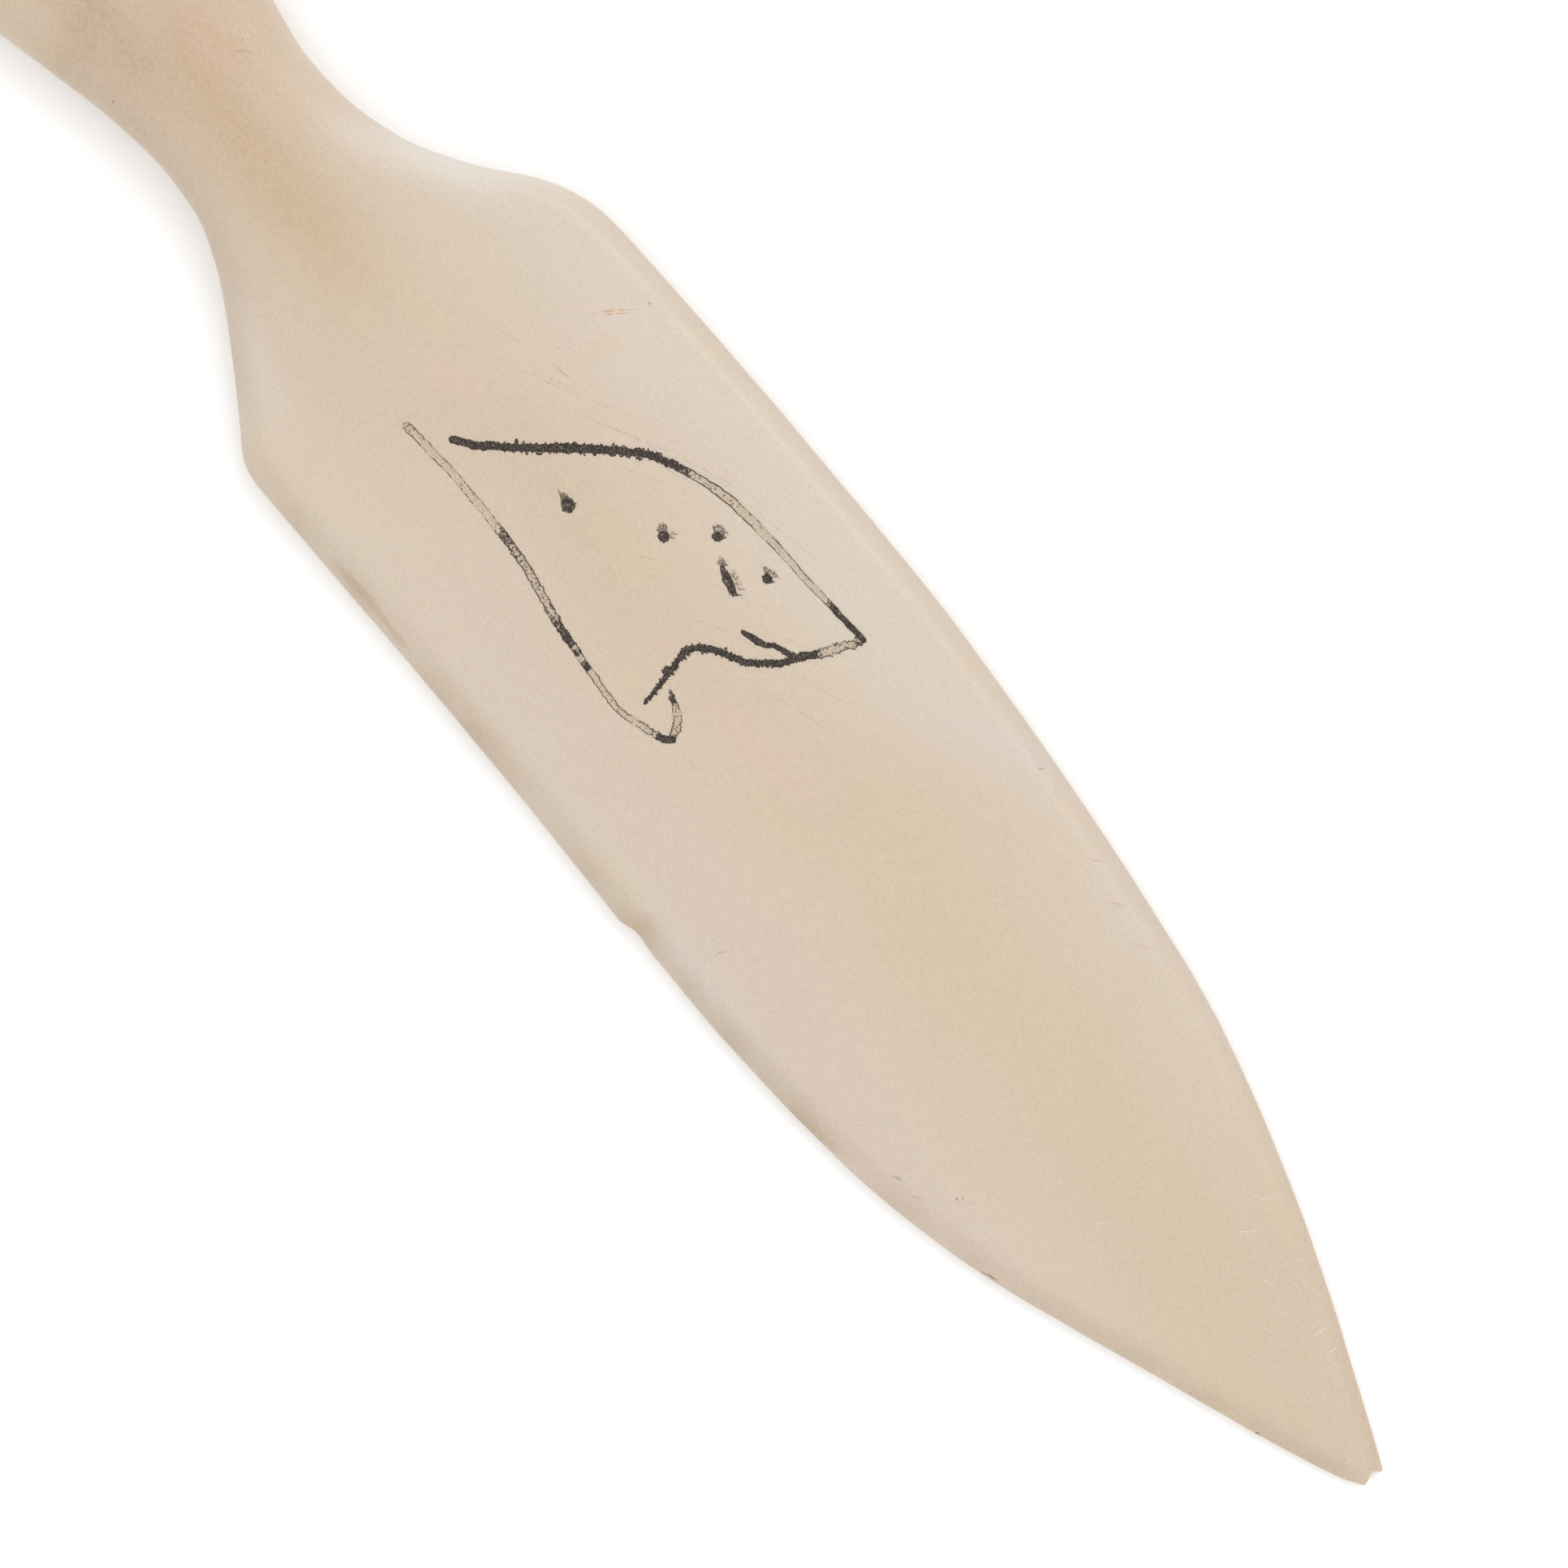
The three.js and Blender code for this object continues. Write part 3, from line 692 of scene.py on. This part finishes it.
def pigment_line(node, name, start, end, material):
    """The pigment along part of a stroke: a ragged ribbon, dished along its middle, in its groove."""
    t = traces[name]
    rows = np.flatnonzero((t["share"] >= start - 1e-6) & (t["share"] <= end + 1e-6))
    rings, across_values, wear_values, edge_values = [], [], [], []
    for k in rows:
        point, side, wear = t["line"][k], t["side"][k], t["wear"][k]
        sag = INK_SAG["black"] * (1 - wear) + INK_SAG["faded"] * wear
        ring = []
        for q in (-1, -0.8, -0.4, 0, 0.4, 0.8, 1):
            reach = t["left"][k] if q > 0 else t["right"][k]
            bulge = INK_PROUD - sag * max(0, 1 - (q * reach / t["plain"][k]) ** 2)
            ring.append((*(point + side * q * reach), bulge))
            across_values.append(q)
            edge_values.append(t["edging"][0 if q > 0 else 1][k])
        for q in (0.5, -0.5):
            ring.append((*(point + side * q * t["plain"][k]), -INK_UNDERSIDE))
            across_values.append(0)
            edge_values.append(0)
        wear_values += [wear] * len(ring)
        rings.append(ring)
    ring_size = len(rings[0])
    co = np.array(rings).reshape(-1, 3)
    co[:, 2] += face_height(TIP_X - co[:, 0], co[:, 1])
    bm = bmesh.new()
    verts = [bm.verts.new(p) for p in co]
    for i in range(len(rings) - 1):
        for j in range(ring_size):
            a, b = i * ring_size + j, i * ring_size + (j + 1) % ring_size
            bm.faces.new((verts[a], verts[b], verts[b + ring_size], verts[a + ring_size]))
    bm.faces.new(verts[:ring_size])
    bm.faces.new(verts[-ring_size:])
    bmesh.ops.recalc_face_normals(bm, faces=bm.faces)
    line = new_object(node + "_line", bm, material)
    set_attribute(line, "across", across_values)
    set_attribute(line, "wear", wear_values)
    set_attribute(line, "edging", edge_values)
    return line


PIT_SIDES = 84
PIT_RINGS = [0.25, 0.5, 0.75, 0.92, 1.0]
POOL_SAG = 0.04
POOL_UNDERSIDE = 0.2
POOL_WEAR = 0.1


def pigment_spot(pit, material):
    """The pigment in a pricked mark: a low ragged pool, closed below."""
    from_tip, y = pit["place"]
    centre = np.array([TIP_X - from_tip, y])
    turn = math.radians(pit["turn"])
    x_axis = np.array([math.cos(turn), math.sin(turn)])
    y_axis = np.array([-math.sin(turn), math.cos(turn)])
    half_length, half_width = pit["size"]
    bm = bmesh.new()
    middle = bm.verts.new((*centre, face_height(from_tip, y) - POOL_SAG))
    rings, edge_shares = [], [0.0]
    for ring_share in PIT_RINGS:
        ring = []
        for k in range(PIT_SIDES):
            angle = 2 * math.pi * k / PIT_SIDES
            around = Vector((math.cos(angle), math.sin(angle), 0))
            lumps = 1 + 0.35 * noise.noise(around * 1.6 + Vector((from_tip, y, 0)))
            ragged = 0.5 * noise.noise(around * 4.5 + Vector((y, from_tip, 4.3)))
            reach = ring_share * (lumps + ragged * ring_share**3)
            place = centre + x_axis * half_length * reach * math.cos(angle)
            place = place + y_axis * half_width * reach * math.sin(angle)
            surface = face_height(TIP_X - place[0], place[1])
            height = surface + INK_PROUD - POOL_SAG * (1 - ring_share**2)
            ring.append(bm.verts.new((*place, height)))
            edge_shares.append(ring_share)
        rings.append(ring)
    bottom = bm.verts.new((*centre, face_height(from_tip, y) - POOL_UNDERSIDE))
    edge_shares.append(0.0)
    for k in range(PIT_SIDES):
        after = (k + 1) % PIT_SIDES
        bm.faces.new((middle, rings[0][k], rings[0][after]))
        bm.faces.new((bottom, rings[-1][after], rings[-1][k]))
        for inner, outer in zip(rings, rings[1:]):
            bm.faces.new((inner[k], outer[k], outer[after], inner[after]))
    bmesh.ops.recalc_face_normals(bm, faces=bm.faces)
    spot = new_object(pit["node"] + "_pool", bm, material)
    set_attribute(spot, "across", edge_shares)
    set_attribute(spot, "wear", [POOL_WEAR] * len(edge_shares))
    set_attribute(spot, "edging", [0.0] * len(edge_shares))
    return spot


# Materials.
class Graph:
    """A material's node graph, built one call at a time. Places are in millimetres."""

    def __init__(self, name):
        self.material = bpy.data.materials.new(name)
        self.material.use_nodes = True
        self.tree = self.material.node_tree
        self.tree.nodes.clear()
        self.shader = self.tree.nodes.new("ShaderNodeBsdfPrincipled")
        output = self.tree.nodes.new("ShaderNodeOutputMaterial")
        self.tree.links.new(self.shader.outputs[0], output.inputs[0])
        here = self.node("ShaderNodeTexCoord", {}).outputs["Object"]
        self.place = self.node("ShaderNodeVectorMath", {0: here, 3: 1 / MM}, operation="SCALE").outputs[0]

    def node(self, kind, inputs, **settings):
        made = self.tree.nodes.new(kind)
        for name, value in settings.items():
            setattr(made, name, value)
        for name, value in inputs.items():
            if isinstance(value, bpy.types.NodeSocket):
                self.tree.links.new(value, made.inputs[name])
            else:
                made.inputs[name].default_value = value
        return made

    def math(self, operation, *values):
        return self.node("ShaderNodeMath", dict(enumerate(values)), operation=operation).outputs[0]

    def vector(self, operation, a, b):
        return self.node("ShaderNodeVectorMath", {0: a, 1: b}, operation=operation)

    def mix(self, share, a, b, blend="MIX"):
        made = self.node("ShaderNodeMix", {0: share, 6: a, 7: b}, data_type="RGBA", blend_type=blend)
        return made.outputs[2]

    def attribute(self, name, output="Fac"):
        return self.node("ShaderNodeAttribute", {}, attribute_name=name).outputs[output]

    def remap(self, value, start, end, low=0.0, high=1.0):
        made = self.node(
            "ShaderNodeMapRange", {0: value, 1: start, 2: end, 3: low, 4: high},
            interpolation_type="SMOOTHSTEP", clamp=False,
        )
        return made.outputs[0]

    def stretch(self, scale, turn=0.0, shift=(0, 0, 0), place=None):
        """The place in millimetres, turned and scaled to a texture's own units."""
        inputs = {
            "Vector": place or self.place, "Location": shift,
            "Rotation": (0, 0, math.radians(turn)), "Scale": [1 / part for part in scale],
        }
        return self.node("ShaderNodeMapping", inputs, vector_type="TEXTURE").outputs[0]

    def noise(self, place, detail=2.0, roughness=0.5, distortion=0.0):
        inputs = {"Vector": place, "Scale": 1.0, "Detail": detail, "Roughness": roughness,
                  "Distortion": distortion}
        return self.node("ShaderNodeTexNoise", inputs)

    def wobbled(self, scale, amount, seed):
        """The place in millimetres, pushed about by a noise of that many waves to the millimetre."""
        wave = self.noise(self.stretch((scale,) * 3, shift=(seed, seed, seed)), detail=3.0)
        centred = self.vector("ADD", wave.outputs["Color"], (-0.5,) * 3)
        push = self.node("ShaderNodeVectorMath", {0: centred.outputs[0], 3: amount}, operation="SCALE")
        return self.vector("ADD", self.place, push.outputs[0]).outputs[0]

    def patch(self, at, size, turn=0.0, soft=1.0, place=None):
        """1 inside an ellipse on the folder, fading to 0 at its rim. soft is the rim's share of it."""
        from_tip, y = at
        cos, sin = math.cos(math.radians(turn)), math.sin(math.radians(turn))
        centre = (TIP_X - from_tip, y, 0)
        offset = self.vector("SUBTRACT", place or self.place, centre).outputs[0]
        along = self.vector("DOT_PRODUCT", offset, (cos / size[0], sin / size[0], 0)).outputs["Value"]
        side = self.vector("DOT_PRODUCT", offset, (-sin / size[1], cos / size[1], 0)).outputs["Value"]
        squared = self.math("MULTIPLY_ADD", along, along, self.math("MULTIPLY", side, side))
        return self.remap(squared, 1.0, (1.0 - soft) ** 2)


# Small stains: colour, place, half length and half width, turn, strength.
STAINS = [
    ((176, 152, 118), (82.5, -13.3), (3.2, 0.4), 2, 0.5),
    ((176, 154, 118), (79.2, -13.3), (2.0, 0.3), 2, 0.4),
    ((184, 160, 128), (38.8, -12.5), (2.6, 0.4), 8, 0.55),
    ((150, 92, 66), (24.8, -9.75), (0.7, 0.12), 20, 0.8),
    ((70, 62, 54), (6.7, -2.98), (0.28, 0.07), 21, 0.9),
    ((120, 96, 72), (11.3, -4.6), (0.1, 0.06), 0, 0.8),
    ((140, 122, 100), (47.4, 12.5), (0.32, 0.06), 44, 0.8),
    ((168, 136, 116), (40.9, 11.6), (0.6, 0.06), 42, 0.6),
    ((196, 158, 140), (38.0, 10.9), (0.8, 0.07), 40, 0.5),
    ((200, 164, 146), (34.9, 10.5), (1.0, 0.07), 38, 0.45),
    ((204, 170, 152), (30.8, 9.0), (0.7, 0.06), 38, 0.4),
    ((206, 150, 100), (84.9, 11.8), (0.13, 0.11), 0, 0.8),
    ((150, 110, 80), (30.0, -8.3), (0.12, 0.08), 0, 0.8),
    ((150, 110, 80), (29.8, -8.0), (0.1, 0.07), 0, 0.7),
    ((150, 138, 126), (33.3, -10.3), (0.4, 0.14), 30, 0.5),
    ((150, 138, 126), (31.7, -10.2), (0.35, 0.12), 30, 0.5),
    ((140, 104, 78), (113.0, 2.5), (0.16, 0.1), 40, 0.8),
    ((172, 134, 100), (112.5, 2.0), (0.5, 0.1), 60, 0.5),
    ((176, 140, 108), (112.0, 2.4), (0.4, 0.07), 20, 0.4),
    ((238, 232, 224), (67.6, 5.05), (0.26, 0.14), -30, 0.8),
    ((130, 104, 80), (115.2, -6.1), (0.12, 0.08), 0, 0.8),
    ((120, 104, 88), (86.2, 5.7), (0.09, 0.07), 0, 0.6),
    ((120, 104, 88), (85.0, 4.1), (0.07, 0.07), 0, 0.7),
    ((110, 92, 78), (80.2, 10.2), (0.08, 0.07), 0, 0.7),
    ((140, 126, 110), (51.1, -10.1), (0.45, 0.05), 70, 0.5),
]
# Hairline marks, from one place to another with a half width: some dark, some pale, some rusty.
DARK_HAIRS = [
    ((88.6, 1.9), (81.0, 6.2), 0.035), ((87.2, 3.2), (78.6, 7.4), 0.03), ((84.6, 3.0), (75.2, 8.1), 0.035),
    ((82.8, 4.4), (71.0, 9.2), 0.03), ((80.4, 2.9), (72.0, 7.6), 0.03), ((79.4, 6.4), (69.2, 9.9), 0.035),
    ((77.8, 5.6), (73.6, 7.2), 0.04), ((74.0, 7.9), (64.6, 10.4), 0.03), ((68.9, 1.2), (64.8, 3.4), 0.03),
    ((67.6, 2.4), (58.8, 5.6), 0.03), ((66.8, 3.6), (60.8, 7.0), 0.025), ((64.0, 1.4), (55.2, 4.9), 0.03),
    ((62.4, 3.9), (55.0, 7.0), 0.025), ((86.4, 4.6), (83.8, 5.4), 0.05), ((74.4, 1.0), (71.6, 2.6), 0.025),
    ((90.0, 3.4), (86.8, 4.4), 0.03), ((78.2, -1.0), (74.6, 0.6), 0.022), ((70.6, 3.2), (64.0, 6.4), 0.025),
]
RUSTY_HAIRS = [((87.2, 8.1), (84.9, 11.2), 0.08), ((86.4, 8.9), (85.1, 10.6), 0.06)]
PALE_HAIRS = [
    ((9.6, 3.0), (9.3, 4.9), 0.09), ((8.2, 3.3), (7.8, 4.6), 0.07), ((2.1, 0.3), (1.2, 0.7), 0.07),
    ((17.6, 3.8), (16.8, 5.2), 0.07), ((15.0, 3.0), (12.6, 3.9), 0.04), ((13.2, 2.2), (11.0, 3.4), 0.035),
    ((6.2, 1.7), (4.4, 3.0), 0.04), ((23.6, -2.9), (22.9, -1.7), 0.07), ((11.6, -0.6), (8.4, 1.4), 0.03),
    ((19.4, 5.6), (17.2, 7.2), 0.035), ((14.4, 5.4), (12.9, 6.0), 0.04), ((7.2, 0.0), (5.2, 1.4), 0.03),
]


def hair_mask(graph, hairs, place):
    total = None
    for (start_d, start_y), (end_d, end_y), half_width in hairs:
        middle = ((start_d + end_d) / 2, (start_y + end_y) / 2)
        reach = math.hypot(end_d - start_d, end_y - start_y) / 2
        turn = math.degrees(math.atan2(end_y - start_y, start_d - end_d))
        mask = graph.patch(middle, (reach, half_width), turn, 0.9, place)
        total = mask if total is None else graph.math("MAXIMUM", total, mask)
    return total


def bone_colour(g):
    """The bone's colour: broad tones and painted sheens, mottling, painted shade on the rims, stains and
    hairlines.
    """
    colour = g.attribute("tone", "Color")
    clouds = g.noise(g.stretch((0.07, 0.16, 0.1)), detail=4.0, roughness=0.55)
    pinker = g.math("MULTIPLY", g.remap(clouds.outputs["Fac"], 0.5, 0.72), 0.35)
    colour = g.mix(pinker, colour, shown(222, 199, 184))
    yellower = g.math("MULTIPLY", g.remap(clouds.outputs["Fac"], 0.48, 0.3), 0.3)
    colour = g.mix(yellower, colour, shown(221, 203, 170))
    streaks = g.noise(g.stretch((0.13, 0.55, 0.3), -4.0), detail=4.0, roughness=0.6).outputs["Fac"]
    browner = g.math("MULTIPLY", g.remap(streaks, 0.5, 0.68), g.attribute("held"))
    colour = g.mix(g.math("MULTIPLY", browner, 0.2), colour, shown(192, 162, 134))
    # Painted shade on the bevels: the bands inside the lower and upper edges are darkened.
    rim = g.math("MULTIPLY", g.attribute("lower_bevel_shade"), 0.7)
    colour = g.mix(rim, colour, shown(194, 172, 147))
    rim = g.math("MULTIPLY", g.attribute("upper_bevel_shade"), 0.55)
    colour = g.mix(rim, colour, shown(198, 176, 154))
    shaken = g.wobbled(2.5, 0.35, 8.0)
    for tone, at, size, turn, strength in STAINS:
        mask = g.patch(at, size, turn, 0.8, shaken)
        colour = g.mix(g.math("MULTIPLY", mask, strength), colour, shown(*tone))
    return colour


def bone_marks(g, colour):
    """Hairlines and scratches on top of the bone's colour, and where the loose pigment lies."""
    bent = g.wobbled(0.22, 1.1, 12.0)
    broken = g.noise(g.stretch((1.6, 1.6, 1.6)), detail=2.0).outputs["Fac"]
    patchy = g.remap(broken, 0.36, 0.56, 0.15, 1.0)
    for hairs, tone, strength in (
        (DARK_HAIRS, (132, 116, 98), 0.42), (RUSTY_HAIRS, (214, 146, 98), 0.85),
        (PALE_HAIRS, (233, 224, 214), 0.85),
    ):
        mask = g.math("MULTIPLY", hair_mask(g, hairs, bent), patchy)
        colour = g.mix(g.math("MULTIPLY", mask, strength), colour, shown(*tone))
    near_tip = g.patch((6, 2), (18, 9), 0, 0.8)
    for turn, seed, threshold in ((15, 1.0, 0.64), (72, 5.0, 0.71)):
        lines = g.noise(g.stretch((0.6, 8.0, 1.0), turn, (seed, seed, 0)), detail=1.0).outputs["Fac"]
        mask = g.math("MULTIPLY", g.remap(lines, threshold, threshold + 0.08), near_tip)
        colour = g.mix(g.math("MULTIPLY", mask, 0.36), colour, shown(229, 216, 200))
    stain = g.attribute("stain")
    colour = g.mix(g.math("MULTIPLY", stain, 0.6), colour, shown(172, 146, 118))
    speckle = g.noise(g.stretch((8.0, 8.0, 8.0)), detail=2.0, roughness=0.6).outputs["Fac"]
    speckled = g.math("MULTIPLY_ADD", speckle, 1.6, g.math("SUBTRACT", stain, 0.8))
    return g.mix(g.remap(speckled, 0.48, 0.72), colour, shown(72, 61, 55))


def bone_pores(g):
    """Sparse fine pores drawn out along the bone, more of them on the back and the grip."""
    cells = g.noise(g.stretch((0.5, 5.0, 5.0), 3.0), detail=2.0, roughness=0.6).outputs["Fac"]
    under = g.attribute("under")
    start = g.math("SUBTRACT", 0.735, g.math("MULTIPLY", under, 0.1))
    edge = g.math("ADD", start, 0.06)
    return g.remap(cells, start, edge)


def bone_material():
    g = Graph("polished_bone")
    pores = bone_pores(g)
    colour = bone_marks(g, bone_colour(g))
    colour = g.mix(g.math("MULTIPLY", pores, 0.35), colour, shown(168, 140, 112))
    grain = g.noise(g.stretch((9.0, 9.0, 9.0)), detail=3.0, roughness=0.7).outputs["Fac"]
    colour = g.mix(g.remap(grain, 0.35, 0.7, 0.0, 0.36), colour, shown(192, 172, 148))
    flecks = g.noise(g.stretch((3.2, 4.6, 4.0)), detail=3.0, roughness=0.7).outputs["Fac"]
    colour = g.mix(g.remap(flecks, 0.35, 0.7, 0.0, 0.22), colour, shown(236, 222, 200))
    g.tree.links.new(colour, g.shader.inputs["Base Color"])

    smudges = g.noise(g.stretch((0.2, 0.35, 0.3)), detail=4.0).outputs["Fac"]
    g.tree.links.new(g.remap(smudges, 0.3, 0.7, 0.36, 0.5), g.shader.inputs["Roughness"])

    scraping = g.noise(g.stretch((0.05, 1.6, 1.0), 2.0), detail=3.0, roughness=0.6).outputs["Fac"]
    fine_scratches = g.noise(g.stretch((0.4, 14.0, 1.0), -24.0), detail=2.0).outputs["Fac"]
    relief = g.math("MULTIPLY", scraping, 0.5)
    relief = g.math("ADD", relief, g.math("MULTIPLY", g.remap(fine_scratches, 0.62, 0.75), -0.12))
    relief = g.math("ADD", relief, g.math("MULTIPLY", grain, 0.12))
    relief = g.math("SUBTRACT", relief, g.math("MULTIPLY", pores, 0.6))
    bump = g.node("ShaderNodeBump", {"Height": relief, "Strength": 0.35, "Distance": 0.02 * MM})
    g.tree.links.new(bump.outputs[0], g.shader.inputs["Normal"])

    g.shader.inputs["Subsurface Weight"].default_value = 0.25
    g.shader.inputs["Subsurface Radius"].default_value = (1.0, 0.62, 0.4)
    g.shader.inputs["Subsurface Scale"].default_value = 0.9 * MM
    g.shader.inputs["IOR"].default_value = 1.54
    g.shader.inputs["Specular IOR Level"].default_value = 0.35
    return g.material


def ink_material(name):
    """Pigment in the engraving: black and grainy, fading to the bone's colour with dark edges."""
    g = Graph(name)
    speckle = g.noise(g.stretch((5.5, 5.5, 5.5)), detail=4.0, roughness=0.65).outputs["Fac"]
    fine = g.noise(g.stretch((10, 10, 10)), detail=2.0).outputs["Fac"]
    patches = g.math("MULTIPLY", g.math("SUBTRACT", speckle, 0.5), 2.8)
    wear = g.attribute("wear")
    edge = g.math("ABSOLUTE", g.attribute("across"))
    edge_line = g.math("MULTIPLY", g.remap(edge, 0.66, 0.9), g.attribute("edging"))
    faded = g.remap(g.math("SUBTRACT", g.math("ADD", wear, patches), edge_line), 0.3, 0.75)
    black = g.mix(g.remap(fine, 0.42, 0.72), shown(40, 32, 30), shown(112, 98, 90))
    black = g.mix(g.remap(wear, 0.3, 0.8), black, shown(98, 82, 67))
    pale = g.mix(g.remap(fine, 0.35, 0.7), shown(214, 197, 176), shown(190, 172, 148))
    g.tree.links.new(g.mix(faded, black, pale), g.shader.inputs["Base Color"])
    g.tree.links.new(g.remap(fine, 0.3, 0.7, 0.6, 0.85), g.shader.inputs["Roughness"])
    bump = g.node("ShaderNodeBump", {"Height": fine, "Strength": 0.5, "Distance": 0.03 * MM})
    g.tree.links.new(bump.outputs[0], g.shader.inputs["Normal"])
    g.shader.inputs["Specular IOR Level"].default_value = 0.3
    return g.material


def floor_material():
    g = Graph("pale_table")
    paper = g.noise(g.stretch((0.02, 0.02, 0.02)), detail=2.0).outputs["Fac"]
    tint = g.mix(g.remap(paper, 0.3, 0.7), (0.95, 0.95, 0.95, 1), (0.965, 0.965, 0.965, 1))
    g.tree.links.new(tint, g.shader.inputs["Base Color"])
    g.shader.inputs["Roughness"].default_value = 0.9
    g.shader.inputs["Specular IOR Level"].default_value = 0.1
    return g.material


def make_pieces():
    bone = bone_body(bone_material())
    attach(bone, "root")
    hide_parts("bone_body")
    inks = {"ink": ink_material("black_pigment"), "worn_ink": ink_material("faded_pigment")}
    for name, stroke in STROKES.items():
        for node, start, end in stroke["fills"]:
            slot = "worn_ink" if node.endswith("_worn") else "ink"
            line = pigment_line(node, name, start, end, inks[slot])
            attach(line, "root")
            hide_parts(node)
    for pit in PITS:
        spot = pigment_spot(pit, inks["ink"])
        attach(spot, "root")
        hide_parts(pit["node"])


# The stage: a wide pale table, soft light from all round, and a camera that looks straight down.
FLOOR_SIZE = 4.0
VIEW_CENTRE = (56.7, -0.43)
VIEW_WIDTH = 96.6
VIEW_TURN = 51.0
LENS = 100.0
SENSOR = 36.0


def make_stage():
    bm = bmesh.new()
    bmesh.ops.create_grid(bm, x_segments=8, y_segments=8, size=FLOOR_SIZE / MM / 2)
    floor = new_object("table", bm, floor_material())
    floor.location.z = low.z - 0.02 * MM


def area_light(name, place, size, power):
    light = bpy.data.lights.new(name, "AREA")
    light.size = size
    light.energy = power
    lamp = bpy.data.objects.new(name, light)
    lamp.location = place
    lamp.rotation_euler = (-Vector(place)).to_track_quat("-Z", "Y").to_euler()
    bpy.context.scene.collection.objects.link(lamp)


def make_light():
    world = bpy.data.worlds.new("soft_room")
    world.use_nodes = True
    background = world.node_tree.nodes["Background"]
    background.inputs["Color"].default_value = (1.0, 1.0, 1.0, 1.0)
    background.inputs["Strength"].default_value = 1.05
    bpy.context.scene.world = world
    area_light("key", (-0.15, 0.75, 0.75), 0.7, 2.7)
    area_light("fill", (0.3, -0.6, 0.9), 0.9, 1.3)
    bpy.context.scene.view_settings.view_transform = "Standard"


def make_camera():
    from_tip, y = VIEW_CENTRE
    face = thickness(from_tip)
    distance = VIEW_WIDTH * LENS / SENSOR
    camera = bpy.data.objects.new("camera", bpy.data.cameras.new("camera"))
    camera.data.lens = LENS
    camera.data.sensor_width = SENSOR
    camera.data.clip_start = 0.01
    camera.location = Vector((TIP_X - from_tip, y, face + distance)) * MM
    camera.rotation_euler = (0, 0, math.radians(VIEW_TURN))
    bpy.context.scene.collection.objects.link(camera)
    bpy.context.scene.camera = camera


make_camera()
make_pieces()
make_stage()
make_light()
